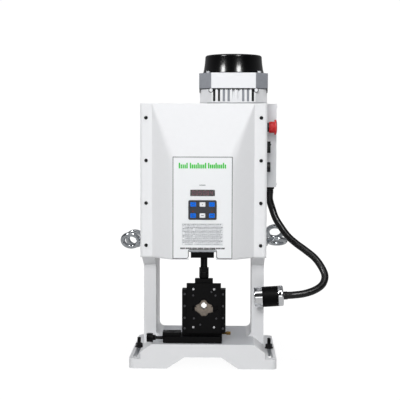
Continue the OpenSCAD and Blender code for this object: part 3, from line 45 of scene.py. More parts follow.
# Camera. The photograph was taken from just above the middle of the press with a long lens, a little to
# the right of its axis, so the right cheek of the head shows and the left one doesn't.
camera_at = Vector((64.4, -2666.2, 587.0)) * MM
camera_yaw = math.radians(1.639)
camera_pitch = math.radians(3.579)
camera_roll = math.radians(0.129)
ahead = Vector((
    -math.sin(camera_yaw) * math.cos(camera_pitch),
    math.cos(camera_yaw) * math.cos(camera_pitch),
    -math.sin(camera_pitch),
))
level = Vector((math.cos(camera_yaw), math.sin(camera_yaw), 0))
rise = level.cross(ahead)
right = math.cos(camera_roll) * level + math.sin(camera_roll) * rise
upward = math.cos(camera_roll) * rise - math.sin(camera_roll) * level
lens = bpy.data.cameras.new("camera")
lens.lens = 90
lens.sensor_width = 36
lens.clip_start = 0.05
lens.clip_end = 60
camera = bpy.data.objects.new("camera", lens)
camera.matrix_world = Matrix.Translation(camera_at) @ Matrix((right, upward, -ahead)).transposed().to_4x4()
bpy.context.collection.objects.link(camera)
bpy.context.scene.camera = camera


# Studio. A pale floor that fades into a white backdrop, under soft rectangular lights, as for a catalogue
# picture. Matt paint and bright metal have lights of their own, so that black stays black and chrome shines.
def tone(sheet_hex):
    """sRGB hex value to linear colour."""
    parts = [int(sheet_hex[i:i + 2], 16) / 255 for i in (0, 2, 4)]
    return tuple(c / 12.92 if c <= 0.04045 else ((c + 0.055) / 1.055) ** 2.4 for c in parts) + (1,)


def add(tree, kind, settings=None, **inputs):
    """A node with its settings, and with a value or a link on each named input."""
    made = tree.nodes.new(kind)
    for key, value in (settings or {}).items():
        setattr(made, key, value)
    for key, value in inputs.items():
        numbered = key[0] == "i" and key[1:].isdigit()
        place = made.inputs[int(key[1:]) if numbered else key.replace("_", " ")]
        if isinstance(value, bpy.types.NodeSocket):
            tree.links.new(value, place)
        else:
            place.default_value = value
    return made


def soft_light(name, place, aim, size, watts, matt=True, gloss=True):
    """A soft rectangular light, in metres, that matt surfaces, glossy ones or both take up."""
    lamp = bpy.data.lights.new(name, "AREA")
    lamp.shape = "RECTANGLE"
    lamp.size, lamp.size_y = size
    lamp.energy = watts
    holder = bpy.data.objects.new(name, lamp)
    holder.location = place
    holder.rotation_euler = (Vector(aim) - Vector(place)).to_track_quat("-Z", "Y").to_euler()
    holder.visible_diffuse = matt
    holder.visible_glossy = gloss
    bpy.context.collection.objects.link(holder)


bpy.context.scene.view_settings.view_transform = "Standard"
press_middle = (0, 0, 0.45)
press_low = (0, 0, 0.4)
cap_middle = (0.07, 0, 0.77)
cap_strip = (0.8, 1.1)
soft_light("front_softbox", place=(-0.3, -3.4, 1.7), aim=press_middle, size=(1.5, 1.5), watts=82, gloss=False)
soft_light("front_sheen", place=(0, -3.4, 0.5), aim=press_middle, size=(2.6, 0.7), watts=9, matt=False)
soft_light("high_sheen", place=(0, -1.7, 3.2), aim=press_low, size=(2.4, 1.0), watts=16, matt=False)
soft_light("left_sheen_strip", place=(-2.2, -2.5, 2.6), aim=cap_middle, size=cap_strip, watts=90, matt=False)
soft_light("right_sheen_strip", place=(1.25, -3.0, 2.6), aim=cap_middle, size=cap_strip, watts=90, matt=False)
soft_light("top_strip", place=(0.1, -0.6, 2.6), aim=press_low, size=(1.6, 1.2), watts=16, gloss=False)
soft_light("left_strip", place=(-2.4, 0.8, 0.9), aim=press_low, size=(0.6, 1.8), watts=6, gloss=False)
soft_light("right_strip", place=(2.4, 0.8, 0.9), aim=press_low, size=(0.6, 1.8), watts=6, gloss=False)
soft_light("back_fill", place=(0.6, 3.4, 1.5), aim=press_middle, size=(1.5, 1.5), watts=34, gloss=False)

world = bpy.data.worlds.new("studio")
bpy.context.scene.world = world
world.use_nodes = True
sky = world.node_tree
sky.nodes.clear()
sky_way = add(sky, "ShaderNodeSeparateXYZ", Vector=add(sky, "ShaderNodeTexCoord").outputs["Generated"])
sky_height = add(sky, "ShaderNodeMapRange", Value=sky_way.outputs["Z"], From_Min=-0.5, From_Max=1.0)
sky_ramp = add(sky, "ShaderNodeValToRGB", Fac=sky_height.outputs["Result"])
sky_ramp.color_ramp.elements[0].color = tone("9A9A9C")
sky_ramp.color_ramp.elements[1].color = tone("E8E9EC")
sky_depth = add(sky, "ShaderNodeMapRange", Value=sky_way.outputs["Y"],
                From_Min=-0.7, From_Max=0.6, To_Min=0.06, To_Max=0.45)
sky_fill = add(sky, "ShaderNodeBackground", Color=sky_ramp.outputs["Color"],
               Strength=sky_depth.outputs["Result"])
sky_seen = add(sky, "ShaderNodeBackground", Color=tone("FFFFFF"), Strength=1.02)
sky_mix = add(sky, "ShaderNodeMixShader", Fac=add(sky, "ShaderNodeLightPath").outputs["Is Camera Ray"],
              i1=sky_fill.outputs[0], i2=sky_seen.outputs[0])
add(sky, "ShaderNodeOutputWorld", Surface=sky_mix.outputs[0])

floor_mesh = bmesh.new()
bmesh.ops.create_circle(floor_mesh, cap_ends=True, segments=96, radius=6)
floor_data = bpy.data.meshes.new("floor")
floor_mesh.to_mesh(floor_data)
floor = bpy.data.objects.new("floor", floor_data)
floor.location.z = -0.4 * MM
bpy.context.collection.objects.link(floor)
floor_paper = bpy.data.materials.new("matt_paper_floor")
floor_paper.use_nodes = True
paper = floor_paper.node_tree
paper.nodes.clear()
paper_far = add(paper, "ShaderNodeVectorMath", {"operation": "LENGTH"},
                i0=add(paper, "ShaderNodeNewGeometry").outputs["Position"])
paper_fade = add(paper, "ShaderNodeMapRange", {"interpolation_type": "SMOOTHSTEP"},
                 Value=paper_far.outputs["Value"], From_Min=0.2, From_Max=0.6, To_Min=0.86)
paper_lit = add(paper, "ShaderNodeBsdfDiffuse", Color=tone("F6F6F6"))
paper_level = add(paper, "ShaderNodeMapRange", To_Min=0.55, To_Max=1.06,
                  Value=add(paper, "ShaderNodeLightPath").outputs["Is Camera Ray"])
paper_glow = add(paper, "ShaderNodeEmission", Color=tone("FFFFFF"), Strength=paper_level.outputs["Result"])
paper_mix = add(paper, "ShaderNodeMixShader", Fac=paper_fade.outputs["Result"],
                i1=paper_lit.outputs[0], i2=paper_glow.outputs[0])
add(paper, "ShaderNodeOutputMaterial", Surface=paper_mix.outputs[0])
floor_data.materials.append(floor_paper)


# Base casting: grey iron, filled and sprayed with white two-pack enamel, with slotted ears for the bench
# bolts. The bed on its top is milled bare, and the die is screwed down on it.
def surface(name, colour, rough, metal, grain_mm, depth_mm, spread=0.06, shade=0.9,
            stretch=(1, 1, 1), **sockets):
    """A material named for the real one: its grain has a real size, and clouds its colour and its sheen."""
    clouds_per_grain = 0.1
    cloud_low, cloud_high = 0.35, 0.65
    sharpest = 0.02
    bump_share = 0.6
    made = bpy.data.materials.new(name)
    made.use_nodes = True
    tree = made.node_tree
    shader = tree.nodes["Principled BSDF"]
    shader.inputs["Metallic"].default_value = metal
    for key, value in sockets.items():
        shader.inputs[key.replace("_", " ")].default_value = value
    spot = add(tree, "ShaderNodeMapping", {"vector_type": "POINT"}, Scale=stretch,
               Vector=add(tree, "ShaderNodeTexCoord").outputs["Object"])
    grains_per_metre = 1 / (grain_mm * MM)
    cloud = add(tree, "ShaderNodeTexNoise", Vector=spot.outputs[0], Detail=3,
                Scale=clouds_per_grain * grains_per_metre)
    grain = add(tree, "ShaderNodeTexNoise", Vector=spot.outputs[0], Detail=2, Scale=grains_per_metre)
    sheen = add(tree, "ShaderNodeMapRange", Value=cloud.outputs["Fac"],
                From_Min=cloud_low, From_Max=cloud_high,
                To_Min=max(rough - spread, sharpest), To_Max=rough + spread)
    tree.links.new(sheen.outputs["Result"], shader.inputs["Roughness"])
    full = tone(colour)
    tint = add(tree, "ShaderNodeMix", {"data_type": "RGBA"}, Factor=cloud.outputs["Fac"],
               A=full, B=tuple(c * shade for c in full[:3]) + (1,))
    tree.links.new(tint.outputs["Result"], shader.inputs["Base Color"])
    bump = add(tree, "ShaderNodeBump", Height=grain.outputs["Fac"],
               Distance=depth_mm * MM, Strength=bump_share)
    tree.links.new(bump.outputs["Normal"], shader.inputs["Normal"])
    return made


def faced(made, colour, rough, metal, along, least, most):
    """Gives a material a second look on the faces whose normal or place along one axis is in range."""
    tree = made.node_tree
    shader = tree.nodes["Principled BSDF"]
    kind, axis = along
    if kind == "normal":
        spot = add(tree, "ShaderNodeNewGeometry").outputs["Normal"]
    else:
        spot = add(tree, "ShaderNodeTexCoord").outputs["Object"]
    part = add(tree, "ShaderNodeSeparateXYZ", Vector=spot).outputs[axis]
    if kind == "normal":
        part = add(tree, "ShaderNodeMath", {"operation": "ABSOLUTE"}, i0=part).outputs[0]
    mask = add(tree, "ShaderNodeMapRange", Value=part, From_Min=least, From_Max=most).outputs["Result"]
    looks = (
        ("Base Color", tone(colour), "RGBA"),
        ("Roughness", rough, "FLOAT"),
        ("Metallic", metal, "FLOAT"),
    )
    for socket, value, data_type in looks:
        old = shader.inputs[socket]
        first = old.links[0].from_socket if old.is_linked else old.default_value
        mix = add(tree, "ShaderNodeMix", {"data_type": data_type}, Factor=mask, A=first, B=value)
        tree.links.new(mix.outputs["Result"], old)


def dress(material, *nodes, ease_mm=0.0, steps=2):
    """Puts a material on CAD nodes, and rounds their edges so that they catch the light."""
    weld_mm = 0.01
    least_ridge = math.radians(32)
    for node in nodes:
        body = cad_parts[node]
        body.data.materials.clear()
        body.data.materials.append(material)
        if ease_mm:
            body.modifiers.new("weld", "WELD").merge_threshold = weld_mm * MM
            rounds = body.modifiers.new("rounds", "BEVEL")
            rounds.width = ease_mm * MM
            rounds.segments = steps
            rounds.limit_method = "ANGLE"
            rounds.angle_limit = least_ridge
            rounds.harden_normals = True


# Enamel over filler: a satin white with slow waves, as filled castings have. Its grain is drawn coarse.
bed_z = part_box("base")[1][2]
base_bed = surface("white_enamel_with_milled_bed", "E9EAEC", rough=0.42, metal=0.0, grain_mm=5, depth_mm=0.1,
                   shade=0.95, Coat_Weight=0.15)
faced(base_bed, "DADCE0", rough=0.4, metal=0.3, along=("place", "Z"),
      least=bed_z - 1.2 * MM, most=bed_z - 0.6 * MM)
dress(base_bed, "base", ease_mm=1.2)

# Side plates and top plate: cut from thick steel plate, bolted to the base, and sprayed in the same enamel
# as the base. Their edges are broken with a file, so each edge shows as a thin bright line.
plate_enamel = surface("white_enamel_on_steel_plate", "E9EAEC", rough=0.42, metal=0.0,
                       grain_mm=5, depth_mm=0.1, shade=0.95, Coat_Weight=0.25, Coat_Roughness=0.12)
dress(plate_enamel, "left_side_plate", "right_side_plate", "top_plate", ease_mm=1.0)

# Works inside the head: gearbox of cast aluminium, bearing plate, ram and guides of ground steel, and a worm
# of turned steel on a bronze wheel. They are assembled on the bearing plate before the covers go on.
# A sand-cast face is coarse and mid grey, and shows no clear highlight.
cast = surface("sand_cast_aluminium", "A9ADB2", rough=0.45, metal=0.75, grain_mm=1.4, depth_mm=0.08,
               spread=0.08, shade=0.8)
dress(cast, "gearbox_housing", "gearbox_lid")
# Ground and turned faces have fine lines along the cut, which stretch the highlights.
ground = surface("ground_steel", "B6BABF", rough=0.3, metal=1.0, grain_mm=0.5, depth_mm=0.01,
                 spread=0.07, shade=0.85, stretch=(0.08, 1, 1))
turned = surface("turned_steel", "BEC1C5", rough=0.26, metal=1.0, grain_mm=0.5, depth_mm=0.01,
                 spread=0.06, shade=0.85, stretch=(1, 1, 0.2))
dress(ground, "stator", "bearing_plate", "ram", "ram_guides", "cam_roller")
dress(turned, "rotor_shaft", "worm", "shaft_bearings", "crankshaft")
# The coupling is machined all over, which leaves a pale and even satin.
coupling_alloy = surface("machined_aluminium_coupling", "C2C5C9", rough=0.32, metal=0.9,
                         grain_mm=0.8, depth_mm=0.02)
dress(coupling_alloy, "shaft_coupling", ease_mm=1.0)
# Handled brass and bronze go dull and brown, so the yellow only shows in the light.
brass = surface("turned_brass", "80693F", rough=0.32, metal=1.0, grain_mm=0.6, depth_mm=0.02,
                spread=0.08, shade=0.72, stretch=(1, 0.3, 0.3))
dress(brass, "worm_wheel", ease_mm=0.3)

# Ram tools and die: tool steel, milled and blackened in hot salts. The slide hangs in the tool holder's slot
# and the body stands on the bed; the jaws are ground after hardening, so they are bare and brown with oil.
# Blackening leaves almost no gloss: near black all over, with soft grey edges where it is rubbed.
die_black = surface("blackened_tool_steel", "050506", rough=0.4, metal=0.05, grain_mm=0.9, depth_mm=0.015,
                    spread=0.08, shade=0.6, Specular_IOR_Level=0.12)
dress(die_black, "tool_holder", "die_slide", "die_body", "die_front_plate", "clamp_plate", "clamp_jaw",
      ease_mm=0.7)
dress(die_black, "die_rod", "lock_nut", "clamp_screw", ease_mm=0.4)
jaw_steel = surface("oil_browned_jaw_steel", "9A8F84", rough=0.36, metal=0.6, grain_mm=0.7, depth_mm=0.02,
                    spread=0.08, shade=0.6)
dress(jaw_steel, "upper_jaw", "fixed_jaws", ease_mm=0.4)
dress(brass, "stop_screw", ease_mm=0.3)


# Die screws: steel cap screws with hexagon sockets, driven in from the front. Four bright zinc-plated ones
# hold the front plate, and blackened ones, rubbed grey by hand and key, stand in the body and the plate.
def piece(name, shape, material, body, slot, *replaced, smooth=34):
    """Turns a shape in millimetres into a piece that rides on a body. Its slot argument is not used."""
    data = bpy.data.meshes.new(name)
    bmesh.ops.recalc_face_normals(shape, faces=shape.faces)
    shape.to_mesh(data)
    shape.free()
    data.transform(Matrix.Scale(MM, 4))
    data.materials.append(material)
    for face in data.polygons:
        face.use_smooth = True
    data.set_sharp_from_angle(angle=math.radians(smooth))
    made = bpy.data.objects.new(name, data)
    bpy.context.collection.objects.link(made)
    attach(made, body)
    if replaced:
        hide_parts(*replaced)
    return made


def bridge(shape, rings, closed_ends=(True, True)):
    """Joins rings of vertices of equal count into a skin, and caps its ends."""
    for low, high in zip(rings, rings[1:]):
        count = len(low)
        for k in range(count):
            shape.faces.new((low[k], low[(k + 1) % count], high[(k + 1) % count], high[k]))
    for ring, closed in zip((rings[0], rings[-1]), closed_ends):
        if closed:
            shape.faces.new(ring)


def circle(sides):
    """Evenly spaced angles, once round."""
    return [2 * math.pi * k / sides for k in range(sides)]


def lathe(shape, place, profile, sides=48, ends=(True, True)):
    """Turns (radius, height) pairs about the place's own Z axis."""
    rings = []
    for radius, height in profile:
        rings.append([
            shape.verts.new(place @ Vector((radius * math.cos(a), radius * math.sin(a), height)))
            for a in circle(sides)
        ])
    bridge(shape, rings, ends)


def stand(at, way):
    """A place at a point, with its Z axis along a direction."""
    return Matrix.Translation(Vector(at)) @ Vector(way).to_track_quat("Z", "Y").to_matrix().to_4x4()


def socket_screw(shape, at, way, radius, head, flats, crown=0.0):
    """Screw head standing on a face, domed by crown, with a hexagon socket."""
    sides = 36
    edge = min(0.35, head / 4)
    socket_rim = flats * 0.78
    socket_floor = head * 0.4
    place = stand(at, way)
    profile = [(radius, 0), (radius, head - crown - edge), (radius - edge, head - crown)]
    if crown:
        profile.append((radius - crown * 0.9, head - crown * 0.3))
    lathe(shape, place, profile + [(socket_rim, head)], sides, (True, False))
    degrees = [360 // sides * k for k in range(sides)]
    hexagon = [flats / 2 / math.cos(math.radians(turn % 60 - 30)) for turn in degrees]
    rings = []
    for reaches, height in (([socket_rim] * sides, head), (hexagon, head), (hexagon, socket_floor)):
        rings.append([
            shape.verts.new(place @ Vector((reach * math.cos(a), reach * math.sin(a), height)))
            for reach, a in zip(reaches, circle(sides))
        ])
    bridge(shape, rings, (False, True))


def box_mm(node):
    """Lowest and highest corner of a CAD node at rest, in millimetres."""
    return [[round(v / MM, 3) for v in corner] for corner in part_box(node)]


to_front = (0, -1, 0)
die_face_y = box_mm("die_body")[0][1]
plate_face_y = box_mm("die_front_plate")[0][1]
counterbore = 2.3
bright_columns, bright_rows = (-24.5, 28.5), (102, 200)
bright_screws = bmesh.new()
for x in bright_columns:
    for z in bright_rows:
        seat = (x, plate_face_y + counterbore, z)
        socket_screw(bright_screws, seat, to_front, radius=2.95, head=2.6, flats=2.9)
bright_zinc = surface("bright_zinc_screws", "E2E3E5", rough=0.24, metal=0.85, grain_mm=0.8, depth_mm=0.01)
piece("die_front_plate_screws", bright_screws, bright_zinc, "root", "bright_screws", "die_screws")
body_columns, body_rows = (-47, 51), (97.7, 124.8, 155.5, 186.2)
plate_spots = ((-24.8, 184.3), (21.8, 193.2), (31.9, 184.3), (-23.1, 124.8), (34.1, 124.8), (-6.8, 108.8))
dark_screws = bmesh.new()
for x in body_columns:
    for z in body_rows:
        socket_screw(dark_screws, (x, die_face_y, z), to_front, radius=3, head=2.4, flats=2.9)
for x, z in plate_spots:
    socket_screw(dark_screws, (x, plate_face_y, z), to_front, radius=2.5, head=2.4, flats=2.4)
worn_black = surface("worn_black_steel_screws", "4A4A4E", rough=0.4, metal=0.5, grain_mm=0.7, depth_mm=0.02)
piece("die_body_screws", dark_screws, worn_black, "root", "black_screws")

# Motor body and end shield: cast aluminium, the body sprayed pale, the shield left as cast on its chamfers
# and milled on its four flats, which carry painted light: nearly white where they face the front and back,
# and light grey where they face the sides. The shield is bolted down over a black rubber seal.
motor_paint = surface("painted_cast_motor_body", "F2F3F5", rough=0.5, metal=0.1,
                      grain_mm=1.4, depth_mm=0.06, shade=0.9)
dress(motor_paint, "motor_housing")
# As cast the alloy is a matt mid grey. The milled flats carry painted light: nearly white on the front and
# back, a lighter grey on the sides.
shield_alloy = surface("cast_aluminium_end_shield_with_painted_light", "9EA1A8", rough=0.5, metal=0.1,
                       grain_mm=1.6, depth_mm=0.08, shade=0.8, Specular_IOR_Level=0.3)
faced(shield_alloy, "EDEEF1", rough=0.45, metal=0.08, along=("normal", "Y"), least=0.85, most=0.92)
faced(shield_alloy, "B9BCC1", rough=0.45, metal=0.2, along=("normal", "X"), least=0.9, most=0.95)
dress(shield_alloy, "end_shield", ease_mm=1.2)

# Seal, fin gaps and lugs of the motor: a toothed rubber seal shows under the shield, and where its black band
# runs under the chamfers it is painted shadow of the shield. The gaps between the fins are painted shade:
# black strips in the outer gaps, grey ones in the inner gaps. Two cast lugs stand out on each side.
shield_low, shield_high = box_mm("end_shield")
motor_x = (shield_low[0] + shield_high[0]) / 2
motor_y = (shield_low[1] + shield_high[1]) / 2
shield_z = shield_low[2]
motor_half = 87.0
corner_cut = 31.28
edge = motor_half - corner_cut
seal_h, seal_proud, seal_depth = 1.8, 0.3, 3
tooth_h, tooth_proud = 2.0, 0.5
tooth_pitch, tooth_half, teeth = 4.9, 1.3, 22
fin_pitch = 12.4
gap_top, gap_low = 0.2, 33.2
gap_front, gap_back = 1.2, 8.8
lug_x, lug_sink, lug_drop = 58, 1.5, 5
lug_turns = [(4.6, 0), (4.6, 2.3), (4.0, 2.9)]
lug_outline_turns = [(6.2, 0), (6.2, 1.8), (5.6, 2.2)]
corner_screw, corner_screw_rise = 66, 40


def side_block(shape, spin, outline, low, high):
    """An upright block on one side of the motor, from an outline in plan."""
    bridge(shape, [[shape.verts.new(spin @ Vector((a, b, h))) for a, b in outline] for h in (low, high)])


def strip(x, half, front, back):
    """Plan outline of a strip that starts and ends at two depths behind the side of the motor."""
    y = -motor_half
    return [(x - half, y + front), (x + half, y + front), (x + half, y + back), (x - half, y + back)]


seal_and_shade = bmesh.new()
grey_gap_shade = bmesh.new()
lugs = bmesh.new()
lug_dark_outlines = bmesh.new()
# Strips of painted shade in the fin gaps: black ones in the outer gaps, grey ones in the inner gaps.
shaded_gaps_black = {-4: 6.6, -3: 4.2, 4: 6.6}
shaded_gaps_grey = {-2: 6.0, -1: 5.6, 2: 6.0, 3: 5.6}
for turn in range(4):
    spin = Matrix.Translation((motor_x, motor_y, 0)) @ Matrix.Rotation(math.radians(90 * turn), 4, "Z")
    seal_top = shield_z - 0.1
    seal_low = seal_top - seal_h
    front = -motor_half - seal_proud
    back = -motor_half + seal_depth
    # The band is a rubber seal; where it runs under the chamfers it is painted shadow of the shield.
    band = [(-edge, front), (edge, front), (-front, -edge), (edge, back), (-edge, back)]
    side_block(seal_and_shade, spin, band, seal_low, seal_top)
    for k in range(teeth):
        tooth_x = (k - (teeth - 1) / 2) * tooth_pitch
        side_block(seal_and_shade, spin, strip(tooth_x, tooth_half, -tooth_proud, seal_depth),
                   seal_low - tooth_h, seal_low)
    for shape, gaps in ((seal_and_shade, shaded_gaps_black), (grey_gap_shade, shaded_gaps_grey)):
        for fin, wide in gaps.items():
            gap = strip(fin * fin_pitch, wide / 2, gap_front, gap_back)
            side_block(shape, spin, gap, shield_z - gap_low, shield_z - gap_top)
    outward = spin.to_3x3() @ Vector(to_front)
    for side in (-1, 1):
        lug_at = spin @ Vector((side * lug_x, -motor_half + lug_sink, shield_z - lug_drop))
        lathe(lugs, stand(lug_at, outward), lug_turns, 32)
        # A black disc behind each lug gives it a dark outline.
        lathe(lug_dark_outlines, stand(lug_at, outward), lug_outline_turns, 32)
        screw_at = spin @ Vector((side * corner_screw, -corner_screw, shield_z + corner_screw_rise))
        socket_screw(lugs, screw_at, (0, 0, 1), radius=5, head=5, flats=5)
# Rubber and the black painted shade are a dead black, the painted shade in the inner gaps a flat grey; the
# lugs are rubbed bright, so they stand out from both.
black_seal_and_shade = surface("black_rubber_seal_and_painted_shade", "101012", rough=0.6, metal=0.0, grain_mm=1, depth_mm=0.02,
                 Specular_IOR_Level=0.2)
grey_gap_paint = surface("painted_grey_shade_in_fin_gaps", "8E9299", rough=0.5, metal=0.0, grain_mm=1, depth_mm=0.02)
bright_cast = surface("bright_cast_lugs", "E6E8EB", rough=0.4, metal=0.2, grain_mm=1.2, depth_mm=0.03)
piece("motor_seal_and_painted_gap_shade", seal_and_shade, black_seal_and_shade, "root", "black_screws")
piece("motor_painted_grey_gap_shade", grey_gap_shade, grey_gap_paint, "root", "motor_alloy")
piece("motor_lugs_and_screws", lugs, bright_cast, "root", "motor_alloy")
piece("motor_lug_dark_outlines", lug_dark_outlines, black_seal_and_shade, "root", "black_screws")

# Fan cap and fan: the cap is deep-drawn steel in gloss black, pressed over a step of the shield, with
# twenty-four slots in its crown. Its side is drawn in a slight hollow, so lights pool at its foot.
# Gloss black shows almost nothing but the lamps that it mirrors.
cap_black = surface("gloss_black_painted_steel", "030304", rough=0.19, metal=0.0, grain_mm=6, depth_mm=0.008,
                    spread=0.015, shade=0.85, Specular_IOR_Level=0.4, Coat_Weight=0.1, Coat_Roughness=0.12)
cap_z = box_mm("fan_cap")[0][2]
cap_wall = 2.2
cap_sides = 144
slot_rings = (58.1, 37)
shoulder_r, shoulder_z, shoulder_round = 69.5, 43, 5
cap_turns = [(80.75, 0.3), (80.6, 1.4), (78.9, 7), (77.5, 14), (76.3, 22), (75.4, 30), (74.8, 37)]
cap_turns += [
    (shoulder_r + shoulder_round * math.cos(a), shoulder_z + shoulder_round * math.sin(a))
    for a in (math.radians(12 * k) for k in range(8))
]
cap_turns += [(69.0, 47.9), (58.1, 48.6), (37, 50), (22.3, 50.8), (10, 51.3), (3, 51.45)]
cap = bmesh.new()
cap_rings = [
    [cap.verts.new((motor_x + radius * math.cos(a), motor_y + radius * math.sin(a), cap_z + height))
     for a in circle(cap_sides)]
    for radius, height in cap_turns
]
for low, high, turns in zip(cap_rings, cap_rings[1:], cap_turns):
    for k in range(cap_sides):
        in_slot = turns[0] in slot_rings and k % 6 in (0, 1)
        if not in_slot:
            cap.faces.new((low[k], low[(k + 1) % cap_sides], high[(k + 1) % cap_sides], high[k]))
cap.faces.new(cap_rings[-1])
cap_sheet = piece("fan_cap_shell", cap, cap_black, "root", "cap_plastic", "fan_cap", smooth=32)
pressed = cap_sheet.modifiers.new("sheet", "SOLIDIFY")
pressed.thickness = cap_wall * MM
pressed.offset = -1
# Moulded plastic is duller and a little paler than the paint of the cap.
fan_plastic = surface("black_moulded_fan", "161618", rough=0.45, metal=0.0, grain_mm=1, depth_mm=0.02)
dress(fan_plastic, "cooling_fan", ease_mm=0.4)

# Front and rear covers: folded sheet steel in white powder coat, screwed to the side plates. The front one
# has a tapered boss with soft bends, which sharpen towards its upper corners, and a notch for the ram.
# Powder coat is an even, slightly pebbled white that takes no hard reflections.
cover_coat = surface("white_powder_coat_on_sheet_steel", "EFF0F2", rough=0.5, metal=0.0,
                     grain_mm=1.2, depth_mm=0.03, shade=0.97, Specular_IOR_Level=0.15)
dress(cover_coat, "rear_cover")
cover_sheet = 2.0
cover_low, cover_high = box_mm("front_cover")
flange_y = cover_high[1] - cover_sheet
boss_out = flange_y - cover_low[1]
boss_left, boss_right, boss_top = -132, 130, cover_high[2] - 1
side_run, top_run = 54, 134
face_left, face_right, face_top = boss_left + side_run, boss_right - side_run, boss_top - top_run
notch_left, notch_right, notch_top = -35.5, 33.5, 303.5
notch_slack = 0.5
face_bend, foot_bend, bend_growth = 1.6, 1.2, 13


def soft_least(a, b, soft):
    """The lesser of two heights, with a round transition of the given width."""
    mix = max(soft - abs(a - b), 0) / soft
    return min(a, b) - mix * mix * soft / 4


def stand_out(x, z):
    """How far the cover stands out of its flange: side slopes, a top slope, and a flat front."""
    side = min(x - boss_left, boss_right - x) * boss_out / side_run
    top = (boss_top - z) * boss_out / top_run
    bend = foot_bend + bend_growth * max(min(side, top, boss_out), 0) / boss_out
    return max(soft_least(soft_least(side, top, bend), boss_out, face_bend), 0)


def spread_lines(stops, spacing):
    """Grid lines that hit every stop, no further apart than the spacing between two stops."""
    lines = []
    for a, b, near in zip(stops, stops[1:], spacing):
        count = max(1, math.ceil((b - a) / near))
        lines += [a + (b - a) * k / count for k in range(count)]
    return lines + [stops[-1]]


stops_across = [cover_low[0], boss_left - 1, boss_left + 4, face_left - 4, face_left + 4, notch_left,
                notch_right, face_right - 4, face_right + 4, boss_right - 4, boss_right + 1, cover_high[0]]
stops_up = [cover_low[2], notch_top, face_top - 7, face_top + 4, boss_top - 5, cover_high[2]]
lines_across = spread_lines(stops_across, spacing=[8, 0.6, 3, 0.6, 3, 6, 3, 0.6, 3, 0.6, 8])
lines_up = spread_lines(stops_up, spacing=[6, 9, 0.7, 2.6, 0.6])
cover = bmesh.new()
grid = [[cover.verts.new((x, flange_y - stand_out(x, z), z)) for x in lines_across] for z in lines_up]
for j, upper in enumerate(lines_up[1:]):
    for i, (left, far) in enumerate(zip(lines_across, lines_across[1:])):
        in_width = left > notch_left - notch_slack and far < notch_right + notch_slack
        in_notch = in_width and upper < notch_top + notch_slack
        if not in_notch:
            cover.faces.new((grid[j][i], grid[j][i + 1], grid[j + 1][i + 1], grid[j + 1][i]))
front_sheet = piece("front_cover_sheet", cover, cover_coat, "root", "cover_paint", "front_cover", smooth=60)
folded = front_sheet.modifiers.new("sheet", "SOLIDIFY")
folded.thickness = cover_sheet * MM
folded.offset = -1

# Cover screws: blackened button heads with hexagon sockets, four down each side of both covers. They show
# as dark dots on the white flanges.
screw_black = surface("blackened_steel_screws", "101012", rough=0.36, metal=0.45, grain_mm=0.7, depth_mm=0.02,
                      spread=0.1, shade=0.7)
front_screw_x, front_screw_rows = 147, (310, 419, 528, 637)
rear_screw_x, rear_screw_rows = 146, (300, 420, 540, 655)
heads = bmesh.new()
for x in (-front_screw_x, front_screw_x):
    for z in front_screw_rows:
        socket_screw(heads, (x, flange_y, z), to_front, radius=4.5, head=3.5, flats=3.2, crown=1.4)
piece("cover_screw_heads", heads, screw_black, "root", "black_screws", "cover_screws")
rear_y = box_mm("rear_cover")[1][1]
rear_heads = bmesh.new()
for x in (-rear_screw_x, rear_screw_x):
    for z in rear_screw_rows:
        socket_screw(rear_heads, (x, rear_y, z), (0, 1, 0), radius=4.0, head=2.6, flats=3.0, crown=1.0)
piece("rear_cover_screw_heads", rear_heads, screw_black, "root", "black_screws")

# Control panel: a polyester sheet glued on the boss. A dark line round its edge is painted shadow of the gap
# at the sheet's edge; it follows the sheet's outline and goes round the notch where the tool holder comes
# out.
# Matt polyester is a touch whiter than the paint round it, and even all over.
foil = surface("matt_polyester_foil", "F3F5F7", rough=0.38, metal=0.0, grain_mm=0.8, depth_mm=0.01,
               shade=0.985)
dress(foil, "control_panel")
panel_low, panel_high = box_mm("control_panel")
panel_y = panel_low[1]
panel_middle = (panel_low[0] + panel_high[0]) / 2
inset = 1.1
line_half, line_proud, line_overlap = 0.85, 0.1, 0.5
line_left, line_right = panel_low[0] + inset, panel_high[0] - inset
line_low, line_high = panel_low[2] + inset, panel_high[2] - inset
notch_edge, notch_roof = 34.6, 304.6
foot_round, roof_round = 6, 5


def ink_and_painted_shadow(name, colour):
    """Screen ink and painted shadow lines: flat and matt, and a little thin in places."""
    return surface(name, colour, rough=0.45, metal=0.0, grain_mm=0.4, depth_mm=0.004, shade=0.9)


arc_steps = [math.radians(18 * k) for k in range(6)]
line = [(line_left, line_low), (line_left, line_high), (line_right, line_high), (line_right, line_low)]
line += [
    (notch_edge + foot_round - foot_round * math.sin(a), line_low + foot_round - foot_round * math.cos(a))
    for a in arc_steps
]
line += [
    (notch_edge - roof_round + roof_round * math.cos(a), notch_roof - roof_round + roof_round * math.sin(a))
    for a in arc_steps
]
line += [(2 * panel_middle - x, z) for x, z in reversed(line[4:])]
# The dark line round the sheet is painted shadow along its edge.
edge_shadow = bmesh.new()
for side in range(len(line)):
    p, q = Vector(line[side]), Vector(line[(side + 1) % len(line)])
    along = (q - p).normalized()
    across = Vector((-along.y, along.x)) * line_half
    p, q = p - along * line_overlap, q + along * line_overlap
    outline = [p + across, p - across, q - across, q + across]
    depths = (panel_y, panel_y - line_proud)
    bridge(edge_shadow, [[edge_shadow.verts.new((v.x, depth, v.y)) for v in outline] for depth in depths])
piece("panel_edge_painted_shadow", edge_shadow, ink_and_painted_shadow("dark_grey_painted_shadow_line", "1E1E20"), "root", "panel_foil")


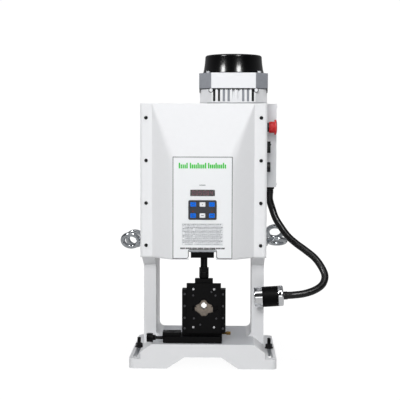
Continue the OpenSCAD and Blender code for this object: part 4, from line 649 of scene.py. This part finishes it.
# Prints on the panel: a green headline, a label over the display, a table of settings with its rules, and a
# line of small marks at the foot. All are plain bars in screen ink.
def bars(shape, places, y, proud=0.12):
    """Flat printed or raised bars between two corners in X and Z, with eased ends."""
    for x0, z0, x1, z1 in places:
        c = min(x1 - x0, z1 - z0) * 0.22
        outline = [(x0 + c, z0), (x1 - c, z0), (x1, z0 + c), (x1, z1 - c),
                   (x1 - c, z1), (x0 + c, z1), (x0, z1 - c), (x0, z0 + c)]
        rings = [[shape.verts.new((x, depth, z)) for x, z in outline] for depth in (y, y - proud)]
        bridge(shape, rings)


headline_z, tall_bar_z, short_bar_z = 509.2, 523.6, 519.4
headline_groups = ((-61, -37), (-33, 9.5), (12.5, 59))
headline_pitch, headline_bar = 4.6, 3.5
title = bmesh.new()
for start, end in headline_groups:
    count = int((end - start) / headline_pitch)
    for k in range(count):
        x = start + k * (end - start) / count
        bar_top = tall_bar_z if k % 4 == 0 else short_bar_z
        bars(title, [(x, headline_z, x + headline_bar, bar_top)], panel_y)
piece("panel_title_bars", title, ink_and_painted_shadow("green_screen_ink", "0CC81C"), "root", "panel_foil")

label_x, label_z, label_pitch, label_w, label_h = -8.6, 466.1, 3.1, 2.2, 2.5
table_left, table_right = -52, 50.2
row_top, row_pitch, row_half, row_left, row_indent = 368.2, 3.55, 0.75, -51.0, 5.5
last_mark_x, mark_right, mark_gap = 47, 49.5, 1.1
mark_widths = (2.2, 3.6, 1.6, 5.2, 2.9)
column_left, column_right = -25.5, -21.5
marks = bmesh.new()
label_places = [label_x + label_pitch * k for k in range(5)]
bars(marks, [(x, label_z, x + label_w, label_z + label_h) for x in label_places], panel_y)
for row in range(15):
    z = row_top - row_pitch * row
    x = row_left + (row_indent if row % 4 == 2 else 0)
    k = row
    while x < last_mark_x:
        wide = mark_widths[k % len(mark_widths)]
        left_blank = column_left < x < column_right and row % 5 > 2
        if not left_blank:
            bars(marks, [(x, z - row_half, min(x + wide, mark_right), z + row_half)], panel_y)
        x += wide + mark_gap
        k += 3
piece("panel_table_marks", marks, ink_and_painted_shadow("grey_screen_ink", "555B66"), "root", "panel_foil")
rule_half, rule_proud = 0.2, 0.08
rule_heights = (370.3, 359.6, 348.9, 338.2, 327.5, 316.2)
rule_columns = (table_left, -36, -22, 36, table_right)
rules = bmesh.new()
bars(rules, [(table_left, z - rule_half, table_right, z + rule_half) for z in rule_heights],
     panel_y, rule_proud)
bars(rules, [(x - rule_half, rule_heights[-1], x + rule_half, rule_heights[0]) for x in rule_columns],
     panel_y, rule_proud)
piece("panel_table_rules", rules, ink_and_painted_shadow("pale_grey_screen_ink", "70767F"), "root", "panel_foil")
foot_left, foot_right, foot_low, foot_high = -57.0, 52, 305.7, 309.8
foot_widths = (2.0, 3.1, 1.5, 2.6)
foot_gap, foot_word_gap = 0.45, 1.5
foot_marks = bmesh.new()
x, k = foot_left, 0
while x < foot_right:
    wide = foot_widths[k % len(foot_widths)]
    bars(foot_marks, [(x, foot_low, x + wide, foot_high)], panel_y)
    x += wide + (foot_word_gap if k % 5 == 4 else foot_gap)
    k += 1
piece("panel_foot_marks", foot_marks, ink_and_painted_shadow("near_black_screen_ink", "08080A"), "root", "panel_foil")

# Display: a smoked acrylic window let into the panel over six seven-segment digits, drawn here on its face.
# Smoked acrylic is a glossy brown-black, and the digits only glow a dull red through it.
smoked = surface("smoked_acrylic_window", "24161B", rough=0.14, metal=0.0, grain_mm=3, depth_mm=0.002,
                 spread=0.03, shade=0.8, Coat_Weight=0.5)
dress(smoked, "display_window", ease_mm=0.3)
window_y = box_mm("display_window")[0][1]
digit_x, digit_z, digit_pitch, digit_w, digit_h = -27.0, 442.6, 9.1, 5.6, 10.8
stroke, end_clear, middle_clear, digit_proud = 1.1, 1.2, 0.7, 0.06
lit_segments = {0: "abcdef", 2: "abged", 4: "fgbc", 5: "afgcd", 8: "abcdefg"}
digits = bmesh.new()
for k, value in enumerate((0, 2, 5, 0, 8, 4)):
    x0, z0 = digit_x + digit_pitch * k, digit_z
    x1, z1 = x0 + digit_w, z0 + digit_h
    middle = z0 + digit_h / 2
    segments = {
        "a": (x0, z1 - stroke, x1, z1),
        "g": (x0, middle - stroke / 2, x1, middle + stroke / 2),
        "d": (x0, z0, x1, z0 + stroke),
        "f": (x0, middle + middle_clear, x0 + stroke, z1 - end_clear),
        "b": (x1 - stroke, middle + middle_clear, x1, z1 - end_clear),
        "e": (x0, z0 + end_clear, x0 + stroke, middle - middle_clear),
        "c": (x1 - stroke, z0 + end_clear, x1, middle - middle_clear),
    }
    bars(digits, [segments[s] for s in lit_segments[value]], window_y, digit_proud)
dim_red = surface("dim_red_display_segments", "7A4350", rough=0.3, metal=0.0, grain_mm=1, depth_mm=0.002)
piece("display_digits", digits, dim_red, "root", "display")

# Keypad: a moulded silicone mat with two indicator lights and six keys, four blue and two white, each with
# a small printed mark. Silicone is matt and soft-edged, and its colours are strong.
silicone = surface("dark_grey_silicone_keypad", "303036", rough=0.52, metal=0.0,
                   grain_mm=0.9, depth_mm=0.02, shade=0.8)
dress(silicone, "keypad_frame", ease_mm=0.5)
keypad_y = box_mm("keypad_frame")[0][1]
lens_turns = [(1.3, 0), (1.25, 0.25), (0.9, 0.5), (0.35, 0.6)]
light_columns, light_z = (-24.9, 22.9), 400.9
keypad_lights = bmesh.new()
for x in light_columns:
    lathe(keypad_lights, stand((x, keypad_y, light_z), to_front), lens_turns, 20)
red_lens = surface("red_indicator_lens", "A01418", rough=0.2, metal=0.0, grain_mm=1, depth_mm=0.002)
piece("keypad_indicator_lights", keypad_lights, red_lens, "root", "keypad_frame")
blue_keys = surface("blue_silicone_keys", "0070EA", rough=0.5, metal=0.0, grain_mm=0.9, depth_mm=0.02,
                    shade=0.88, Specular_IOR_Level=0.2)
white_keys = surface("white_silicone_keys", "F1F2F4", rough=0.48, metal=0.0, grain_mm=0.9, depth_mm=0.02,
                     shade=0.96)
key_ink = ink_and_painted_shadow("navy_key_ink", "1B2C4C")
white_numbers = (2, 5)
key_marks = {
    1: [(-3.4, -0.8, -1.4, 0.9), (-0.9, -0.8, 1.1, 0.9), (1.6, -0.8, 3.4, 0.9)],
    2: [(-1.2, -0.9, 1.2, 0.9)],
    3: [(-0.4, -1.6, 0.4, 1.4), (-1.6, -0.4, 1.6, 0.2)],
    4: [(-3.6, 0.6, -0.6, 2.0), (-3.2, -2.4, 3.2, -1.2), (0.4, 0.6, 3.4, 1.6)],
    5: [(-3.2, -0.8, -1.0, 0.9), (-0.5, -0.8, 3.2, 0.9)],
    6: [(-3.4, -0.8, 0.4, 0.9), (0.9, -0.8, 3.4, 0.9)],
}
for number, key_bars in key_marks.items():
    is_white = number in white_numbers
    dress(white_keys if is_white else blue_keys, f"key_{number}", ease_mm=0.5)
    low, high = box_mm(f"key_{number}")
    x, z = (low[0] + high[0]) / 2, (low[2] + high[2]) / 2
    legend = bmesh.new()
    bars(legend, [(x + a, z + b, x + c, z + d) for a, b, c, d in key_bars], low[1], proud=0.04)
    slot = "white_keys" if is_white else "blue_keys"
    piece(f"key_{number}_marks", legend, key_ink, f"key_{number}_cap", slot)

# Control box: folded sheet steel in powder coat, screwed to the right side plate, with a flat lid whose edge
# catches the light. Its coat is a light grey a little darker than the white covers beside it, as painted
# shade.
box_coat = surface("powder_coat_with_painted_shade", "E2E4E7", rough=0.5, metal=0.0,
                   grain_mm=1.2, depth_mm=0.03, shade=0.96)
dress(box_coat, "control_box")
dress(box_coat, "box_lid", ease_mm=0.6)

# Switches on the right side: glass-filled nylon bodies held by nuts from behind, a gloss black rocker, and a
# red mushroom button whose skirt is ribbed for the hand.
# The glass in the nylon breaks the gloss, and leaves a soft black; the polished red shines more.
nylon = surface("black_glass_filled_nylon", "0B0B0D", rough=0.42, metal=0.0, grain_mm=0.6, depth_mm=0.02,
                shade=0.75, Specular_IOR_Level=0.3)
dress(nylon, "estop_base", "rocker_bezel", "pedal_socket", "lamp_gland", ease_mm=0.5)
rocker_black = surface("gloss_black_rocker", "0F0F11", rough=0.24, metal=0.0, grain_mm=2, depth_mm=0.005,
                       shade=0.8)
dress(rocker_black, "rocker_switch", ease_mm=0.4)
red_abs = surface("red_abs", "D4131B", rough=0.28, metal=0.0, grain_mm=2.5, depth_mm=0.01,
                  shade=0.86, Coat_Weight=0.4)
dress(red_abs, "estop_button", ease_mm=0.7, steps=3)
stop_low, stop_high = box_mm("estop_button")
stop_y, stop_z = (stop_low[1] + stop_high[1]) / 2, (stop_low[2] + stop_high[2]) / 2
rib_turns = [(0.5, 0), (0.62, 0.3), (0.62, 11.2), (0.5, 11.6)]
rib_circle, rib_x, rib_count = 14.15, 171.2, 28
ribs = bmesh.new()
for a in circle(rib_count):
    rib_at = (rib_x, stop_y + rib_circle * math.cos(a), stop_z + rib_circle * math.sin(a))
    lathe(ribs, stand(rib_at, (1, 0, 0)), rib_turns, 8)
piece("estop_skirt_ribs", ribs, red_abs, "estop", "red_plastic")


# Gooseneck: a steel spiral in a black sleeve, with a ferrule at each end, that holds its own shape. The
# route repeats the one of the CAD arm, so the sleeve covers the same space.
def through(points, steps):
    """Points on a smooth curve through the given ones."""
    ends = [2 * points[0] - points[1]] + points + [2 * points[-1] - points[-2]]
    made = []
    for a, b, c, d in zip(ends, ends[1:], ends[2:], ends[3:]):
        for k in range(steps):
            t = k / steps
            square, cube = 2 * a - 5 * b + 4 * c - d, 3 * b - a - 3 * c + d
            made.append((2 * b + (c - a) * t + square * t * t + cube * t ** 3) / 2)
    return made + [points[-1]]


def sweep(shape, path, radius, sides):
    """A round skin along a path."""
    side = Vector((1, 0.2, 0))
    rings = []
    for k, point in enumerate(path):
        along_path = (path[min(k + 1, len(path) - 1)] - path[max(k - 1, 0)]).normalized()
        side = (side - along_path * side.dot(along_path)).normalized()
        other = along_path.cross(side)
        rings.append([
            shape.verts.new(point + radius * (math.cos(a) * side + math.sin(a) * other))
            for a in circle(sides)
        ])
    bridge(shape, rings)


lamp_tilt = math.radians(3.8)
lamp_way = Vector((-math.cos(lamp_tilt), 0, -math.sin(lamp_tilt)))
up = Vector((0, 0, 1))
neck_exit = Vector((175, 30, 448.4))
neck_bends = [
    (0, 0, -10), (0, 0, -28), (7, -2, -52), (16, -8, -77), (30, -15, -100), (48, -25, -124), (70, -35, -143),
    (94, -45, -160), (118, -56, -179), (135, -68, -202), (143, -82, -224), (135, -96, -244),
    (114, -108, -257), (86, -117, -265), (58, -122, -268),
]
straight_step = 13
sleeve_radius, sleeve_sides = 9.45, 28
neck = [neck_exit + Vector(p) for p in neck_bends]
neck += [neck[-1] + straight_step * k * lamp_way for k in (1, 2)]
lamp_end = neck[-1]
gland_turns = [(9.4, 0), (9.95, 0.4), (9.95, 9.6), (9.0, 10.6), (4, 10.9)]
lamp_ferrule_turns = [(9.5, 0), (10.4, 0.5), (10.4, 9.6), (9.9, 10.9)]
sleeve = bmesh.new()
sweep(sleeve, through(neck, 14), sleeve_radius, sleeve_sides)
lathe(sleeve, stand(neck_exit - 11 * up, up), gland_turns, 48)
lathe(sleeve, stand(neck_exit - 0.3 * up, up), [(4, 0), (4, 8)], 32)
lathe(sleeve, stand(lamp_end - 11 * lamp_way, lamp_way), lamp_ferrule_turns, 48)
# A smooth sleeve shows one thin highlight along its length.
sleeve_black = surface("black_pvc_sleeve", "0A0A0B", rough=0.3, metal=0.0, grain_mm=1.2, depth_mm=0.006,
                       spread=0.04, shade=0.8, Specular_IOR_Level=0.35)
piece("gooseneck_sleeve", sleeve, sleeve_black, "lamp", "gooseneck", "lamp_arm", smooth=40)

# Lamp body: a turned aluminium barrel, anodised black, with two shallow grooves. It screws on the end of
# the gooseneck, carries a chrome ring at each end, and is bored out as a bowl for the light.
# Matt anodising swallows the light, so the grooves show only as thin lines.
barrel_black = surface("black_anodised_lamp_body", "030304", rough=0.42, metal=0.0,
                       grain_mm=0.8, depth_mm=0.006, shade=0.8, Specular_IOR_Level=0.08)
lamp_sides = 72
barrel_r, barrel_edge_r, groove_r, seat_r = 26.35, 26.1, 25.9, 23.4
bowl_z = 63.3


def groove(height):
    """Profile of a shallow groove that starts at a height on the barrel."""
    return [(barrel_r, height), (groove_r, height + 0.3), (groove_r, height + 1.0), (barrel_r, height + 1.3)]


barrel_turns = [(seat_r, 3), (seat_r, 13.6), (barrel_edge_r, 13.7), (barrel_r, 14.1)]
barrel_turns += groove(18.0) + groove(50.0)
barrel_turns += [(barrel_r, 54.1), (barrel_edge_r, 54.4), (seat_r, 54.5), (seat_r, bowl_z)]
barrel_turns += [(20.4, bowl_z), (19.5, 40), (6, 30)]
lamp_place = stand(lamp_end, lamp_way)
barrel = bmesh.new()
lathe(barrel, lamp_place, barrel_turns, lamp_sides)
piece("lamp_barrel", barrel, barrel_black, "lamp", "lamp_black", "lamp_body")

# Lamp rings: turned brass, polished and chrome plated, pushed over the ends of the barrel. Chrome mirrors
# the studio in bright and dark bands along each ring.
chrome = surface("bright_chrome_on_brass", "E9EAEC", rough=0.07, metal=1.0, grain_mm=4, depth_mm=0.004,
                 spread=0.02, shade=0.9)
ring_r, ring_edge_r, ring_bore_r, neck_bore_r = 26.5, 26.1, 23.5, 10.5
rear_turns = [(neck_bore_r, 0), (22, 0), (24.6, 0.5), (26.0, 1.7), (ring_r, 3.4), (ring_r, 12.6)]
rear_turns += [(ring_edge_r, 13.4), (ring_bore_r, 13.4), (ring_bore_r, 3.2), (neck_bore_r, 3.2)]
front_turns = [(ring_bore_r, 54.6), (ring_edge_r, 54.6), (ring_r, 55.0), (ring_r, 58.6), (26.2, 58.9)]
front_turns += [(26.2, 59.5), (ring_r, 59.8), (ring_r, 72.4), (ring_edge_r, 73.8), (25.2, 74.5)]
front_turns += [(24.3, 74.3), (23.55, 73.2), (23.55, 54.7)]
rings = bmesh.new()
lathe(rings, lamp_place, rear_turns, lamp_sides, (False, False))
lathe(rings, lamp_place, front_turns, lamp_sides, (False, False))
piece("lamp_chrome_rings", rings, chrome, "lamp", "lamp_chrome", "lamp_rings")

# Light of the lamp: seven emitters with yellow phosphor, one in the middle and six round it, behind a clear
# lens that is clamped by the front ring.
chip_turns = [(3.4, -3), (3.4, 0), (2.6, 0.8), (1.2, 1.4)]
chip_circle, chip_z, middle_chip_z = 9, 34, 31
chip_spots = [(chip_circle * math.cos(a), chip_circle * math.sin(a), chip_z) for a in circle(6)]
chip_spots.append((0, 0, middle_chip_z))
chips = bmesh.new()
for spot in chip_spots:
    lathe(chips, stand(lamp_place @ Vector(spot), lamp_way), chip_turns, 24)
phosphor = surface("yellow_phosphor_emitters", "E9D98A", rough=0.35, metal=0.0, grain_mm=1.5, depth_mm=0.01)
piece("lamp_emitters", chips, phosphor, "lamp", "lamp_glass")
clear_lens = surface("clear_lamp_lens", "E8F0F4", rough=0.08, metal=0.0, grain_mm=3, depth_mm=0.004,
                     spread=0.03, Transmission_Weight=0.85)
dress(clear_lens, "lamp_lens")

# Lifting eyes: drop-forged steel, bright zinc plated, screwed through the covers' cheeks into the side plates
# and stopped at different angles. Forged rings are smooth and mirror their surroundings in patches.
zinc = surface("bright_zinc_on_forged_steel", "BCC0C4", rough=0.15, metal=1.0, grain_mm=2.2, depth_mm=0.03,
               spread=0.07, shade=0.72)
eye_places = ((-1, -60, 317, 35), (-1, 70, 309, 20), (1, -60, 317, 68), (1, 70, 329, 38))
side_x = box_mm("rear_cover")[1][0]
eye_out, eye_radius, eye_bar = 31, 21, 6
crown_swell = 0.12
collar_turns = [(6, -20), (6, 0), (12.4, 0), (13, 0.6), (13, 4.6)]
collar_turns += [(12.2, 5.6), (9.6, 6.6), (7.6, 8.2), (6.4, 11)]
eyes = bmesh.new()
for side, y, z, lean in eye_places:
    out = Vector((side, 0, 0))
    across = Vector((0, -math.sin(math.radians(lean)), math.cos(math.radians(lean))))
    normal = out.cross(across)
    foot = Vector((side_x * side, y, z))
    middle = foot + out * eye_out
    loop = []
    for a in circle(72):
        radial = math.cos(a) * -out + math.sin(a) * across
        swell = 1 + crown_swell * max(0, math.cos(a)) ** 6
        ring = []
        for b in circle(24):
            inward_swell = 1 if math.cos(b) > 0 else swell
            offset = math.cos(b) * radial * inward_swell + math.sin(b) * normal * swell
            ring.append(eyes.verts.new(middle + eye_radius * radial + eye_bar * offset))
        loop.append(ring)
    for low, high in zip(loop, loop[1:] + loop[:1]):
        for n in range(24):
            eyes.faces.new((low[n], low[(n + 1) % 24], high[(n + 1) % 24], high[n]))
    lathe(eyes, stand(foot, out), collar_turns, 48)
piece("lifting_eye_rings", eyes, zinc, "root", "zinc_steel", "eye_bolts", smooth=40)

# Hold-down studs: a blackened steel thread, nut and washer on each ear, on a zinc plated shank that goes down
# through the slot. The thread is drawn as separate ridges.
stud_x, stud_y = 174, -15
washer_r, washer_z, washer_top = 11, 25, 27.5
nut_r, nut_chamfer_r, nut_shoulder, nut_top = 9.25, 7.9, 35.4, 36.5
thread_pitch, thread_root, thread_crest, thread_turns = 1.5, 4.25, 4.98, 10
washer_turns = [(washer_r, washer_z), (washer_r, washer_top - 0.5), (washer_r - 0.4, washer_top)]
washer_turns.append((5.2, washer_top))
nut_turns = [(nut_r, washer_top), (nut_r, nut_shoulder), (nut_chamfer_r, nut_top)]
nut_sides = 6
thread_profile = [(4.2, 35)]
for k in range(thread_turns):
    ridge_z = nut_top + thread_pitch * k
    thread_profile += [(thread_root, ridge_z), (thread_crest, ridge_z + thread_pitch / 2)]
thread_profile += [(4.3, 51.9), (3.4, 52.4)]
shank_turns = [(3.4, 3), (4.3, 3.9), (4.3, 25.5), (4.0, 27)]
studs = bmesh.new()
shanks = bmesh.new()
for x in (-stud_x, stud_x):
    foot = stand((x, stud_y, 0), up)
    lathe(studs, foot, washer_turns, 48, (True, False))
    lathe(studs, foot, nut_turns, nut_sides)
    lathe(studs, foot, thread_profile, 36)
    lathe(shanks, foot, shank_turns, 32)
piece("hold_down_studs", studs, screw_black, "root", "black_screws", "hold_down_bolts", smooth=28)
piece("hold_down_shanks", shanks, zinc, "root", "black_screws")
